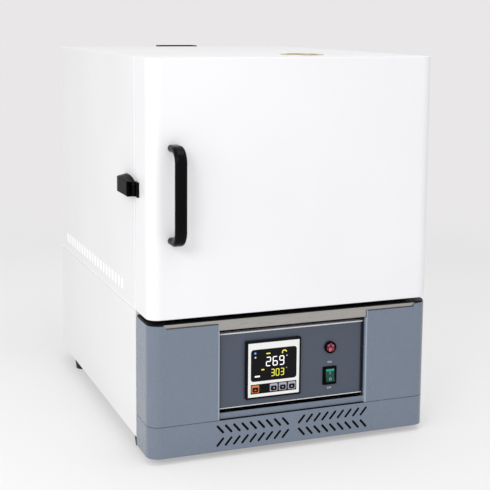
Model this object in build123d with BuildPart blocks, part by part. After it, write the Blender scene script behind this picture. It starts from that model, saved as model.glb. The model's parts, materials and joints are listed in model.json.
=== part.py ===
from build123d import *
import os
from math import atan2, cos, degrees, hypot, radians, sin

os.makedirs("parts", exist_ok=True)

# A bench-top muffle furnace. Millimetres, +Z up, front towards -Y, +X to the right.
# The origin is on the floor, under the middle of everything that stands out.

# Cabinet
split_level = 234.0            # floor to the underside of the door and the upper casing
foot_height = 24.0             # floor to the bottom of the side panels
corner_radius = 20.0           # upright front corners of the door and the base
sheet = 1.2                    # painted steel sheet
flange = 14.0                  # turned-in edges of the sheets
bend_radius = 2.4              # outside of a bend
seam = 0.8                     # shadow line between two painted sheets
seat_gap = 0.2                 # between a sheet and what it is screwed to
door_gap = 2.0                 # door to cabinet

# Muffle, from the inside out, and the space left to the cabinet
chamber_width = 230.0
chamber_height = 200.0
chamber_depth = 375.0          # from the front frame to the rear wall
wall = 35.0                    # vacuum-formed fibre wall
blanket = 36.0                 # fibre blanket round it
casing_sheet = 1.0
side_space = 58.0              # chamber casing to the outside of the cabinet, each side
level_space = 30.0             # the same, above it and below it
rear_space = 102.2             # the same, behind it
hearth_thickness = 10.0
hearth_gap = 9.0               # hearth plate to the side walls
fibre_gap = 0.3                # between fibre pieces

# Heating coils
coil_radius = 5.0
groove_clearance = 1.6
coil_runs = 4
coil_pitch = 42.0
coil_end_gap = 34.0            # run end to the front of the wall
coil_rear_gap = 16.0           # run end to the rear wall
coil_bite = 3.5                # coil's axis behind the wall's face
wire_radius = 2.2
bush_radius = 7.0
bush_bore = 2.6
bush_reach = 22.0              # bush behind the chamber casing
tail_reach = 12.0              # wire beyond its bush

# Thermocouple and exhaust
probe_radius = 4.0
probe_reach = 48.0             # into the chamber
probe_drop = 26.0              # below the chamber roof
probe_tail = 28.0              # sheath between the casing and the head
probe_head_radius = 17.0
probe_head_length = 24.0
exhaust_x = 54.0
exhaust_setback = 36.0         # behind the cabinet's front edge
exhaust_radius = 14.0
exhaust_bore = 10.0
collar_radius = 28.0           # opening in the cabinet's top
collar_rim = 9.0
collar_sheet = 1.0
collar_drop = 22.0
exhaust_stop = 9.0             # tube's top below the cabinet's top
fit_gap = 0.3

# Door
door_depth = 72.0
door_sheet = 1.5
door_edge_radius = 1.4
pan_sheet = 1.0
pan_recess = 1.0               # pan in front of the skin's rear edge
plug_entry = 22.0              # plug into the chamber mouth
plug_gap = 7.0                 # plug to the mouth, all round
plug_shoulder = 26.0           # wide step of the plug beyond the mouth
plug_base = 20.0               # the step's thickness, let into the board
plug_draft = 5.0               # taper of the plug's nose, degrees
insulation_front_gap = 10.0    # board behind the door's face
gasket_width = 12.0
mouth_rim = 6.0                # frame opening beyond the chamber

# Handle
handle_inset = 40.0            # from the door's left side
handle_drop = 6.0              # middle of the handle below the chamber's
handle_pitch = 143.0           # leg to leg
handle_reach = 37.0            # door face to the grip's middle
grip_width = 19.0
grip_thickness = 11.0
handle_bend = 20.0
handle_screw_radius = 2.5
handle_screw_bite = 12.0

# Hinges, on the right side
side_proud = 15.0              # latch and hinge barrels stand this far off the sides
hinge_barrel = 7.0             # barrel radius
hinge_pin = 4.0                # pin radius
hinge_running = 0.05           # radial clearance of the pin
hinge_height = 64.0
hinge_spread = 272.0           # lower hinge to upper hinge
hinge_leaf = 3.0               # leaf thickness
hinge_leaf_length = 40.0
hinge_leaf_gap = 1.6           # leaf to the other leaf's barrel
hinge_slack = 0.5              # between the two barrels

# Latch, on the left side
latch_drop = 4.5               # middle of the latch below the chamber's
latch_height = 25.0
latch_lap = 2.0                # nose of the housing over the door's side
latch_length = 61.0
latch_crown = 4.6              # rise of its top beside the cabinet
latch_dip = 3.6                # fall of its front corner there
latch_crest = 0.6              # place of the highest point, nose to tail
latch_seam = 0.8               # line round the clip-on cover
latch_cover = 3.2              # cover's thickness
latch_nose_gap = 0.6           # housing to the door's side
latch_edge = 2.0
keeper_length = 19.0
keeper_height = 24.0
keeper_inset = 12.0            # middle of the groove to the door's rear edge
keeper_plate = 1.2
keeper_rib = 2.8               # rib above the plate
keeper_rib_width = 3.0
keeper_groove = 10.0           # between the ribs
bolt_height = 17.0
bolt_thickness = 3.0
bolt_nose = 3.0                # nose radius
bolt_travel = 2.6
bolt_clearance = 0.6           # bolt to rib, and bolt to its pocket
bolt_float = 1.0               # nose above the groove's floor
bolt_tail = 26.0               # bolt inside the housing

# Base, front
plinth_bottom = 11.0
plinth_top = 62.0
plinth_return = 66.0           # turned-in lower edge, from the front
base_sheet = 1.5
fascia_drop = 9.4              # door's underside to the fascia's corners
notch_depth = 4.6
notch_inset = 29.0             # end of the notch's floor to the door's side
wing_width = 115.0             # door's side to the panel's recess
recess_depth = 10.5
return_depth = 16.0            # wing returns beside the panel
rail_height = 10.5             # rail under the panel, above the plinth
rail_setback = 5.0
sill_drop = 25.0               # strip's lower edge under the door's underside
sill_setback = 2.2
sill_sheet = 1.0
sill_lip = 7.0
sill_back = 62.0
top_plate = 1.5
top_plate_inset = 1.5
base_inset = 0.6               # base front inside the door's width, each side
sill_step = 1.2                # sill's top above the fascia's corners
slot_width = 3.8
slot_run = 11.8                # slot ends apart, sideways
slot_rise = 13.6               # slot ends apart, upwards
slot_pitch = 14.1
slot_columns = 9
slot_first = 14.2              # middle of the innermost slot
slot_drop = 14.4               # middle of the upper row below the plinth's top
slot_row_pitch = 21.0

# Control panel
panel_foot_gap = 4.0           # above the rail
panel_head_gap = 8.2           # under the sill strip
panel_side_gap = 0.5
panel_fold = 12.0
controller_x = -34.0
controller_drop = 1.65         # below the panel's middle
controller_size = 96.0
controller_body = 91.0
controller_bezel = 6.0
controller_length = 74.0
controller_corner = 1.5
window_recess = 1.8
window_width = 80.0
window_height = 53.0
window_above = 7.5             # window's middle above the controller's
window_radius = 5.0
window_thickness = 1.5
key_strip_height = 16.0
key_strip_recess = 0.8
key_strip_below = 31.6         # strip's middle below the controller's
key_width = 13.2
key_height = 12.4
key_pocket = 4.2               # key's well behind the strip
key_proud = 0.5                # key above the strip
key_travel = 0.8
key_places = (-31.8, 0.3, 16.1, 32.1)    # key middles from the controller's
key_fit = 0.35
lamp_x = 68.0
lamp_rise = 24.0               # above the controller's middle
lamp_radius = 10.0
lamp_proud = 7.0               # lens above the panel
lamp_rim = 5.0                 # bezel above the panel
lens_edge = 1.6
lamp_body = 7.8
lamp_length = 26.0
lens_radius = 7.6
switch_drop = 24.2             # below the controller's middle, under the lamp
switch_width = 25.0
switch_height = 31.0
switch_body_width = 21.0
switch_body_height = 27.0
switch_rim = 2.4
switch_length = 26.0
switch_corner = 2.0
rocker_width = 16.4
rocker_height = 22.4
rocker_angle = 9.0             # each way from the middle
rocker_gap = 0.5               # at its sides
rocker_end_gap = 1.1           # above and below it
rocker_axle = 1.6
rocker_well = 10.0
rocker_bore_gap = 0.05
rocker_pivot = 5.0             # pivot behind the rim's face
rocker_ear = 1.6               # axle stubs beyond the rocker
rocker_crest = 0.4             # pressed half above the rim's face

# Rear
rear_inset = 0.3
hood_x = 3.0
hood_width = 79.0
hood_depth = 34.0
hood_height = 110.0
hood_proud = 2.0               # above the cabinet's top
hood_flange = 12.0
hood_mouth = 66.0              # outlet in the rear cover, behind the hood
vent_width = 4.0
vent_length = 60.0
vent_pitch = 12.0
vent_count = 7
vent_x = 130.0
vent_low = 62.0
screw_head = 4.2
screw_head_height = 2.2
screw_shank = 1.9
screw_length = 5.0
screw_inset = 8.0
screw_end = 30.0               # outer screws to the ends of a side panel
screw_top = 40.0               # outer screws to the ends of the upper casing
gland_x = 150.0
gland_level = 92.0
gland_thread = 12.0
gland_nut = 15.0
gland_bore = 6.5
gland_reach = 18.0             # gland behind the cover
gland_inside = 12.0
gland_nut_height = 5.0
breaker_x = -150.0
breaker_level = 110.0
breaker_width = 36.0
breaker_height = 82.0
breaker_step = 45.0            # height of the breaker's raised front
breaker_depth = 56.0
breaker_proud = 3.0
toggle_width = 26.0
toggle_radius = 7.0
toggle_lever = 13.0
toggle_angle = 28.0            # each way from straight out
toggle_gap = 0.4
toggle_sunk = 5.0              # drum's axis behind the raised front
toggle_thickness = 4.0
toggle_axle = 1.6
toggle_ear = 2.0               # axle stubs beyond the drum
toggle_running = 0.05

# Inside the base
relay_length = 60.0
relay_width = 46.0
relay_height = 24.0
sink_length = 110.0
sink_width = 90.0
sink_base = 6.0
sink_height = 40.0
sink_fins = 7
sink_fin = 2.0
terminal_ways = 6
terminal_pitch = 12.0
terminal_depth = 30.0
terminal_height = 26.0
relay_x = 70.0
terminal_x = -60.0
electrics_inset = 235.0        # in front of the rear cover
breaker_bracket = 130.0        # top of the breaker's bracket above the floor

# Feet
foot_radius = 17.0
foot_draft = 7.0
foot_inset_x = 21.0
foot_inset_rear = 85.0
foot_inset_front = 100.0
foot_bolt = 3.0
foot_bolt_length = 16.0
foot_head_radius = 6.0
foot_head_height = 4.0
deck_sheet = 1.5

# Louvres in the sides
louvre_count = 21
louvre_setback = 77.0          # first one behind the cabinet's front edge
louvre_rear = 60.0             # last one in front of the rear cover
louvre_rise = 18.0             # above the casing's lower edge
louvre_height = 18.0
louvre_width = 5.5
louvre_proud = 1.7
louvre_sheet = 0.9

# Outside of the cabinet
chamber_jacket = wall + blanket + casing_sheet
width = chamber_width + 2 * (chamber_jacket + side_space)
height = split_level + chamber_height + 2 * (chamber_jacket + level_space)
depth = (door_depth + door_gap + base_sheet + fibre_gap + chamber_depth + chamber_jacket
         + rear_space)
chamber_level = (split_level + height) / 2

# Places worked out from them
front = -(depth + hood_depth - handle_reach - grip_thickness / 2) / 2
back = front + depth
body_front = front + door_depth + door_gap
side = width / 2
fascia_top = split_level - fascia_drop
fascia_bottom = plinth_top + seam
frame_back = body_front + base_sheet
muffle_front = frame_back + fibre_gap
chamber_back = muffle_front + chamber_depth
chamber_floor = chamber_level - chamber_height / 2
chamber_roof = chamber_level + chamber_height / 2
muffle_half = chamber_width / 2 + wall
muffle_back = chamber_back + wall
blanket_half = muffle_half + blanket
blanket_back = muffle_back + blanket
casing_half = blanket_half + casing_sheet
casing_back = blanket_back + casing_sheet
casing_bottom = chamber_floor - chamber_jacket
casing_top = chamber_roof + chamber_jacket
deck_level = split_level + sheet + seat_gap
hinge_x = side + side_proud - hinge_barrel
hinge_y = front + door_depth + door_gap / 2
hinge_levels = (chamber_level - hinge_spread / 2, chamber_level + hinge_spread / 2)
hood_top = height + hood_proud
rear_levels = (foot_height + 2, height - sheet - rear_inset)
exhaust_y = body_front + exhaust_setback
breaker_seat = back + breaker_proud - breaker_depth
panel_face = front + recess_depth
recess_half = side - wing_width
notch_half = side - notch_inset
sill_bottom = split_level - sill_drop
rail_top = plinth_top + rail_height
panel_levels = (rail_top + panel_foot_gap, sill_bottom - panel_head_gap)
controller_level = sum(panel_levels) / 2 - controller_drop
lamp_level = controller_level + lamp_rise
switch_level = controller_level - switch_drop
handle_x = handle_inset - side
handle_level = chamber_level - handle_drop
latch_level = chamber_level - latch_drop
coil_x = chamber_width / 2 + coil_bite
coil_levels = [chamber_level + (i - (coil_runs - 1) / 2) * coil_pitch for i in range(coil_runs)]
coil_front = muffle_front + coil_end_gap
coil_rear = chamber_back - coil_rear_gap
probe_level = chamber_roof - probe_drop
terminal_places = [(s * coil_x, z) for s in (-1, 1) for z in (coil_levels[0], coil_levels[-1])]
screw_x = side - sheet - screw_inset
screw_places = [(s * screw_x, z) for s in (-1, 1)
                for z in (rear_levels[0] + screw_end, split_level - screw_end,
                          split_level + screw_top, height - screw_top)]
foot_places = [(s * (side - foot_inset_x), y) for s in (-1, 1)
               for y in (front + foot_inset_front, back - foot_inset_rear)]


def facing(y):
    """A plane at depth y whose sketches are drawn as seen from the front."""
    return Plane(origin=(0, y, 0), x_dir=(1, 0, 0), z_dir=(0, -1, 0))


def from_left(x):
    """A plane at x for sketches of a side view: local X is +Y, local Y is +Z."""
    return Plane.YZ.offset(x)


def block(x, y, z, mode=Mode.ADD):
    """A box between two values along each axis."""
    size = [b - a for a, b in (x, y, z)]
    with Locations(tuple((a + b) / 2 for a, b in (x, y, z))):
        Box(*size, mode=mode)


def front_plan(half, y_front, y_back, radius):
    """Plan of a form with two rounded front corners."""
    with BuildSketch() as plan:
        with Locations((0, (y_front + y_back) / 2)):
            Rectangle(2 * half, y_back - y_front)
        fillet(plan.vertices().group_by(Axis.Y)[0], radius)
    return plan.sketch


def finish(part, name):
    """Label a piece and write it."""
    part.part.label = name
    export_step(part.part, f"parts/{name}.step")


# ---- Cabinet shell ----------------------------------------------------------------

with BuildPart() as upper_casing:
    # One folded sheet over the top and both sides, turned in along its lower edges
    with BuildSketch(facing(body_front)) as hoop:
        with Locations((0, (split_level + height) / 2)):
            Rectangle(width, height - split_level)
        fillet(hoop.vertices().group_by(Axis.Y)[-1], bend_radius)
        with Locations((0, (split_level + height) / 2 - sheet)):
            Rectangle(width - 2 * sheet, height - split_level, mode=Mode.SUBTRACT)
        for s in (-1, 1):
            with Locations((s * (side - flange / 2), split_level + sheet / 2)):
                Rectangle(flange, sheet)
    extrude(amount=-(depth - door_depth - door_gap))
    block((-side + sheet, side - sheet), (back - sheet - seat_gap, back),
          (split_level, height - sheet), mode=Mode.SUBTRACT)
    # Rear flange that takes the rear cover's screws
    with BuildSketch(facing(back - 2 * sheet - seat_gap)):
        with Locations((0, (split_level + height) / 2)):
            Rectangle(width - sheet, height - split_level - sheet)
            Rectangle(width - 2 * flange, height - split_level - 2 * flange, mode=Mode.SUBTRACT)
    extrude(amount=-sheet)
    with BuildSketch(facing(back)):
        with Locations(*[p for p in screw_places if p[1] > split_level]):
            Circle(screw_shank + fit_gap)
    extrude(amount=8 * sheet, both=True, mode=Mode.SUBTRACT)
    # Louvres: a row of pressed hoods on each side, open towards the rear
    louvre_start = body_front + louvre_setback
    louvre_step = (back - louvre_rear - louvre_start) / (louvre_count - 1)
    louvre_ys = [louvre_start + i * louvre_step for i in range(louvre_count)]
    with BuildSketch(Plane.XY.offset(split_level + louvre_rise)):
        for s in (-1, 1):
            for y in louvre_ys:
                with BuildLine():
                    Polyline((s * side, y), (s * (side + louvre_proud), y + louvre_width),
                             (s * side, y + louvre_width), close=True)
                make_face()
    extrude(amount=louvre_height)
    with BuildSketch(Plane.XY.offset(split_level + louvre_rise + louvre_sheet)):
        for s in (-1, 1):
            for y in louvre_ys:
                with BuildLine():
                    Polyline((s * (side - 2 * sheet), y + 2 * louvre_sheet),
                             (s * side, y + 2 * louvre_sheet),
                             (s * (side + louvre_proud - louvre_sheet), y + louvre_width),
                             (s * (side + louvre_proud - louvre_sheet), y + louvre_width + sheet),
                             (s * (side - 2 * sheet), y + louvre_width + sheet), close=True)
                make_face()
    extrude(amount=louvre_height - 2 * louvre_sheet, mode=Mode.SUBTRACT)
    # Exhaust opening in the top
    with BuildSketch(Plane.XY.offset(height)):
        with Locations((exhaust_x, exhaust_y)):
            Circle(collar_radius + fit_gap)
    extrude(amount=-2 * sheet, mode=Mode.SUBTRACT)
finish(upper_casing, "upper_casing")


def side_panel(s, name):
    """Lower side panel: a flat sheet with turned-in front, rear and top edges."""
    y0, y1 = body_front, back
    top = split_level - seam
    with BuildPart() as panel:
        with BuildSketch(Plane.XY.offset(foot_height)):
            with Locations((s * (side - sheet / 2), (y0 + y1) / 2)):
                Rectangle(sheet, y1 - y0)
            with Locations((s * (side - flange / 2), y0 + sheet / 2),
                           (s * (side - flange / 2), y1 - 1.5 * sheet - seat_gap)):
                Rectangle(flange, sheet)
        extrude(amount=top - foot_height)
        with BuildSketch(Plane.XY.offset(top - sheet)):
            with Locations((s * (side - flange / 2), (y0 + y1 - 2 * sheet) / 2)):
                Rectangle(flange, y1 - y0 - 2 * sheet - 2 * seat_gap)
        extrude(amount=sheet)
        with BuildSketch(facing(back)):
            with Locations(*[p for p in screw_places if p[0] * s > 0 and p[1] < split_level]):
                Circle(screw_shank + fit_gap)
        extrude(amount=8 * sheet, both=True, mode=Mode.SUBTRACT)
    finish(panel, name)
    return panel


left_side_panel = side_panel(-1, "left_side_panel")
right_side_panel = side_panel(1, "right_side_panel")

with BuildPart() as base_pan:
    # Tray that carries the electrics and the feet
    pan_half = side - sheet - seat_gap
    pan_rear = back - 2 * sheet - 2 * seat_gap
    block((-pan_half, pan_half), (body_front + sheet + seat_gap, pan_rear),
          (foot_height, foot_height + flange))
    block((-pan_half + deck_sheet, pan_half - deck_sheet),
          (body_front + sheet + seat_gap + deck_sheet, pan_rear - deck_sheet),
          (foot_height + deck_sheet, foot_height + 2 * flange), mode=Mode.SUBTRACT)
    with BuildSketch(Plane.XY.offset(foot_height)):
        with Locations(*foot_places):
            Circle(foot_bolt + fit_gap)
    extrude(amount=2 * deck_sheet, mode=Mode.SUBTRACT)
    # Upright that the circuit breaker is clipped to
    block((breaker_x - breaker_width / 2, breaker_x + breaker_width / 2),
          (breaker_seat - deck_sheet, breaker_seat), (foot_height, breaker_bracket))
finish(base_pan, "base_pan")

with BuildPart() as mid_deck:
    # Deck between the hot cabinet and the electrics, on the casing's lower flanges
    deck_half = side - sheet - seat_gap
    block((-deck_half, deck_half), (frame_back + seat_gap, back - 2 * sheet - 2 * seat_gap),
          (deck_level, deck_level + deck_sheet))
    with BuildSketch(Plane.XY.offset(deck_level)):
        with GridLocations(2 * vent_pitch, 4 * vent_pitch, 6, 6):
            SlotOverall(vent_pitch, vent_width)
    extrude(amount=deck_sheet, mode=Mode.SUBTRACT)
finish(mid_deck, "mid_deck")

with BuildPart() as front_frame:
    # Stainless plate round the mouth of the muffle, seen when the door is open
    frame_half = side - sheet - seat_gap
    with BuildSketch(facing(body_front)) as plate:
        with Locations((0, (split_level + sheet + height - sheet) / 2)):
            Rectangle(2 * frame_half, height - split_level - 2 * sheet - 2 * seat_gap)
        with Locations((0, chamber_level)):
            RectangleRounded(chamber_width + 2 * mouth_rim, chamber_height + 2 * mouth_rim,
                             mouth_rim, mode=Mode.SUBTRACT)
    extrude(amount=-base_sheet)
finish(front_frame, "front_frame")

with BuildPart() as rear_cover:
    # Flat cover over the whole back, with slots, the outlet, breaker window and gland hole
    cover_half = side - sheet - rear_inset
    with BuildSketch(facing(back)) as sheet_back:
        with Locations((0, sum(rear_levels) / 2)):
            Rectangle(2 * cover_half, rear_levels[1] - rear_levels[0])
        for level in (vent_low, split_level + vent_low):
            for s in (-1, 1):
                for i in range(vent_count):
                    with Locations((s * vent_x / 2, level + i * vent_pitch)):
                        SlotOverall(vent_length, vent_width, mode=Mode.SUBTRACT)
        with Locations((hood_x, hood_top - hood_height / 2 - hood_flange / 2)):
            Rectangle(hood_mouth, hood_height - 4 * hood_flange, mode=Mode.SUBTRACT)
        with Locations((breaker_x, breaker_level)):
            Rectangle(breaker_width + 2 * fit_gap, breaker_step + 2 * fit_gap, mode=Mode.SUBTRACT)
        with Locations((gland_x, gland_level)):
            Circle(gland_thread + fit_gap, mode=Mode.SUBTRACT)
        with Locations(*screw_places):
            Circle(screw_shank + fit_gap, mode=Mode.SUBTRACT)
    extrude(amount=sheet)
finish(rear_cover, "rear_cover")

with BuildPart() as rear_vent_hood:
    # Black hood over the outlet: closed in front and at the sides, open at the top
    hood_bottom = hood_top - hood_height
    with BuildSketch(Plane.XY.offset(hood_bottom)) as hood_plan:
        with Locations((hood_x, back + hood_depth / 2)):
            Rectangle(hood_width, hood_depth)
        fillet(hood_plan.vertices().group_by(Axis.Y)[-1], bend_radius)
    extrude(amount=hood_height)
    block((hood_x - hood_width / 2 + sheet, hood_x + hood_width / 2 - sheet),
          (back - sheet, back + hood_depth - sheet), (hood_bottom + sheet, hood_top + sheet),
          mode=Mode.SUBTRACT)
    for s in (-1, 1):
        x = hood_x + s * (hood_width / 2 + hood_flange / 2 - sheet)
        block((x - hood_flange / 2, x + hood_flange / 2), (back, back + sheet),
              (hood_bottom, height - 2 * sheet))
finish(rear_vent_hood, "rear_vent_hood")

with BuildPart() as cover_screws:
    # Pan-head screws of the rear cover
    with BuildSketch(facing(back)):
        with Locations(*screw_places):
            Circle(screw_head)
    extrude(amount=-screw_head_height)
    chamfer(cover_screws.faces().sort_by(Axis.Y)[-len(screw_places):].edges(), screw_head_height / 3)
    with BuildSketch(facing(back)):
        with Locations(*screw_places):
            Circle(screw_shank)
    extrude(amount=screw_length)
finish(cover_screws, "cover_screws")

# ---- Feet -------------------------------------------------------------------------

with BuildPart() as rubber_feet:
    # Tapered feet, each with a well for its bolt head
    with BuildSketch(Plane.XY.offset(foot_height)):
        with Locations(*foot_places):
            Circle(foot_radius)
    extrude(amount=-foot_height, taper=foot_draft)
    with BuildSketch(Plane.XY):
        with Locations(*foot_places):
            Circle(foot_head_radius + fit_gap)
    extrude(amount=foot_height / 2, mode=Mode.SUBTRACT)
    with BuildSketch(Plane.XY):
        with Locations(*foot_places):
            Circle(foot_bolt + fit_gap)
    extrude(amount=foot_height, mode=Mode.SUBTRACT)
finish(rubber_feet, "rubber_feet")

with BuildPart() as foot_bolts:
    # Bolts from below, through the feet into the pan
    with BuildSketch(Plane.XY.offset(foot_height / 2)):
        with Locations(*foot_places):
            Circle(foot_head_radius)
    extrude(amount=-foot_head_height)
    with BuildSketch(Plane.XY.offset(foot_height / 2)):
        with Locations(*foot_places):
            Circle(foot_bolt)
    extrude(amount=foot_bolt_length)
finish(foot_bolts, "foot_bolts")

# ---- Muffle -----------------------------------------------------------------------


def drill_along_y(places, radius, y_from, y_to):
    """Drill round holes at (x, z) places between two depths."""
    with BuildSketch(facing(y_to)) as holes:
        with Locations(*places):
            Circle(radius)
    extrude(holes.sketch, amount=y_to - y_from, mode=Mode.SUBTRACT)


def drill_exhaust(z_from, z_to):
    """Drill the exhaust tube's way between two levels."""
    with BuildSketch(Plane.XY.offset(z_from)) as hole:
        with Locations((exhaust_x, exhaust_y)):
            Circle(exhaust_radius + fit_gap)
    extrude(hole.sketch, amount=z_to - z_from, mode=Mode.SUBTRACT)


def coil_shape(s, run_radius, link_radius, mode=Mode.ADD):
    """Runs along Y, one above the other, joined end to end by upright links."""
    with BuildSketch(facing(coil_front)) as runs:
        with Locations(*[(s * coil_x, z) for z in coil_levels]):
            Circle(run_radius)
    extrude(runs.sketch, amount=-(coil_rear - coil_front), mode=mode)
    for i in range(coil_runs - 1):
        y = coil_front + coil_radius if i % 2 == 0 else coil_rear - coil_radius
        with BuildSketch(Plane.XY.offset(coil_levels[i])) as link:
            with Locations((s * coil_x, y)):
                Circle(link_radius)
        extrude(link.sketch, amount=coil_pitch, mode=mode)


with BuildPart() as muffle_floor:
    block((-muffle_half, muffle_half), (muffle_front, muffle_back),
          (chamber_floor - wall, chamber_floor))
finish(muffle_floor, "muffle_floor")

with BuildPart() as muffle_roof:
    block((-muffle_half, muffle_half), (muffle_front, muffle_back),
          (chamber_roof, chamber_roof + wall))
    drill_exhaust(chamber_roof, chamber_roof + wall)
finish(muffle_roof, "muffle_roof")

with BuildPart() as muffle_sides:
    # Side walls with round-bottomed grooves that hold the coils
    for s in (-1, 1):
        inner, outer = chamber_width / 2, muffle_half
        block(sorted((s * inner, s * outer)), (muffle_front, muffle_back),
              (chamber_floor + fibre_gap, chamber_roof - fibre_gap))
        coil_shape(s, coil_radius + groove_clearance, wire_radius + groove_clearance,
                   mode=Mode.SUBTRACT)
    drill_along_y(terminal_places, wire_radius + fit_gap, coil_rear - coil_radius, muffle_back)
finish(muffle_sides, "muffle_sides")

with BuildPart() as muffle_rear:
    rear_half = chamber_width / 2 - fibre_gap
    block((-rear_half, rear_half), (chamber_back, muffle_back),
          (chamber_floor + fibre_gap, chamber_roof - fibre_gap))
    drill_along_y([(0, probe_level)], probe_radius + fit_gap, chamber_back, muffle_back)
finish(muffle_rear, "muffle_rear")

with BuildPart() as blanket_slabs:
    # Blanket over the roof and under the floor
    slab_half = blanket_half - fibre_gap
    slab_y = (muffle_front, blanket_back - fibre_gap)
    block((-slab_half, slab_half), slab_y,
          (chamber_floor - wall - blanket + fibre_gap, chamber_floor - wall - fibre_gap))
    block((-slab_half, slab_half), slab_y,
          (chamber_roof + wall + fibre_gap, chamber_roof + wall + blanket - fibre_gap))
    drill_exhaust(chamber_roof + wall, casing_top)
finish(blanket_slabs, "blanket_slabs")

with BuildPart() as blanket_sides:
    for s in (-1, 1):
        block(sorted((s * (muffle_half + fibre_gap), s * (blanket_half - fibre_gap))),
              (muffle_front, blanket_back - fibre_gap), (chamber_floor - wall, chamber_roof + wall))
finish(blanket_sides, "blanket_sides")

with BuildPart() as blanket_rear:
    block((-muffle_half, muffle_half), (muffle_back + fibre_gap, blanket_back - fibre_gap),
          (chamber_floor - wall, chamber_roof + wall))
    drill_along_y(terminal_places, bush_radius + fit_gap, muffle_back, blanket_back)
    drill_along_y([(0, probe_level)], probe_radius + fit_gap, muffle_back, blanket_back)
finish(blanket_rear, "blanket_rear")

with BuildPart() as chamber_casing:
    # Box of thin sheet round the blanket, open in front, on two rails
    casing_front = frame_back + seat_gap
    block((-casing_half, casing_half), (casing_front, casing_back), (casing_bottom, casing_top))
    block((-blanket_half, blanket_half), (casing_front, blanket_back),
          (casing_bottom + casing_sheet, casing_top - casing_sheet), mode=Mode.SUBTRACT)
    drill_exhaust(casing_top - casing_sheet, casing_top)
    drill_along_y(terminal_places, bush_radius + fit_gap, blanket_back, casing_back)
    drill_along_y([(0, probe_level)], probe_radius + fit_gap, blanket_back, casing_back)
    rail_foot = deck_level + deck_sheet
    for s in (-1, 1):
        x = s * casing_half * 2 / 3
        block((x - casing_sheet, x + casing_sheet), (casing_front, casing_back),
              (rail_foot, casing_bottom))
        block((x - flange, x + flange), (casing_front, casing_back),
              (rail_foot, rail_foot + casing_sheet))
finish(chamber_casing, "chamber_casing")

with BuildPart() as heating_coils:
    # Wound coils, as the outer form of their turns, with straight tails to the rear
    for s in (-1, 1):
        coil_shape(s, coil_radius, wire_radius)
    tail_end = casing_back + bush_reach + tail_reach
    with BuildSketch(facing(coil_rear - coil_radius)):
        with Locations(*terminal_places):
            Circle(wire_radius)
    extrude(amount=-(tail_end - coil_rear + coil_radius))
finish(heating_coils, "heating_coils")

with BuildPart() as element_bushes:
    # Ceramic bushes that lead the coils' tails out
    with BuildSketch(facing(muffle_back + fibre_gap)):
        with Locations(*terminal_places):
            Circle(bush_radius)
        with Locations(*terminal_places):
            Circle(bush_bore, mode=Mode.SUBTRACT)
    extrude(amount=-(casing_back + bush_reach - muffle_back - fibre_gap))
finish(element_bushes, "element_bushes")

with BuildPart() as hearth_plate:
    hearth_front = muffle_front + plug_entry + hearth_gap
    hearth_rear = chamber_back - hearth_gap
    with BuildSketch(Plane.XY.offset(chamber_floor)) as tile:
        with Locations((0, (hearth_front + hearth_rear) / 2)):
            RectangleRounded(chamber_width - 2 * hearth_gap, hearth_rear - hearth_front, hearth_gap)
    extrude(amount=hearth_thickness)
    chamfer(hearth_plate.faces().sort_by(Axis.Z)[-1].edges(), base_sheet)
finish(hearth_plate, "hearth_plate")

with BuildPart() as thermocouple:
    # Ceramic sheath with a round terminal head behind the casing
    with BuildSketch(facing(chamber_back - probe_reach)):
        with Locations((0, probe_level)):
            Circle(probe_radius)
    extrude(amount=-(casing_back + probe_tail - chamber_back + probe_reach))
    fillet(thermocouple.edges().sort_by(Axis.Y)[0], probe_radius * 0.8)
    with BuildSketch(facing(casing_back + probe_tail)):
        with Locations((0, probe_level)):
            Circle(probe_head_radius)
    extrude(amount=-probe_head_length)
finish(thermocouple, "thermocouple")

with BuildPart() as exhaust_tube:
    with BuildSketch(Plane.XY.offset(chamber_roof)):
        with Locations((exhaust_x, exhaust_y)):
            Circle(exhaust_radius)
            Circle(exhaust_bore, mode=Mode.SUBTRACT)
    extrude(amount=height - exhaust_stop - chamber_roof)
finish(exhaust_tube, "exhaust_tube")

with BuildPart() as exhaust_collar:
    # Turned collar: a flat rim on the cabinet's top and a neck through it
    with BuildSketch(Plane.XZ) as collar_profile:
        with BuildLine():
            Polyline((collar_radius - collar_sheet, height - collar_drop),
                     (collar_radius, height - collar_drop), (collar_radius, height),
                     (collar_radius + collar_rim, height),
                     (collar_radius + collar_rim, height + collar_sheet / 2),
                     (collar_radius + collar_rim - collar_sheet, height + collar_sheet),
                     (collar_radius - collar_sheet, height + collar_sheet), close=True)
        make_face()
    revolve(axis=Axis.Z)
exhaust_collar.part.position = (exhaust_x, exhaust_y, 0)
finish(exhaust_collar, "exhaust_collar")

# ---- Door -------------------------------------------------------------------------

door_back = front + door_depth
handle_legs = [(handle_x, handle_level + s * handle_pitch / 2) for s in (-1, 1)]

door_outline = front_plan(side, front, door_back, corner_radius)
door_hollow = front_plan(side - door_sheet, front + door_sheet, door_back + door_sheet,
                         corner_radius - door_sheet)
with BuildPart() as door_skin:
    # Deep pressed tray with round upright corners, open at the back
    with BuildSketch(Plane.XY.offset(split_level)):
        add(door_outline)
    extrude(amount=height - split_level)
    fillet(door_skin.faces().filter_by(Axis.Z).edges().filter_by(
        lambda e: e.center().Y < front + corner_radius), door_edge_radius)
    with BuildSketch(Plane.XY.offset(split_level + door_sheet)):
        add(door_hollow)
    extrude(amount=height - split_level - 2 * door_sheet, mode=Mode.SUBTRACT)
    # Inner lip that the door's pan is screwed to
    with BuildSketch(facing(door_back - pan_recess - pan_sheet - door_sheet)):
        with Locations((0, (split_level + height) / 2)):
            Rectangle(width - door_sheet, height - split_level - door_sheet)
            Rectangle(width - 2 * flange, height - split_level - 2 * flange, mode=Mode.SUBTRACT)
    extrude(amount=-door_sheet)
    with BuildSketch(facing(front)):
        with Locations(*handle_legs):
            Circle(handle_screw_radius + fit_gap)
    extrude(amount=-door_sheet, mode=Mode.SUBTRACT)
finish(door_skin, "door_skin")

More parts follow.
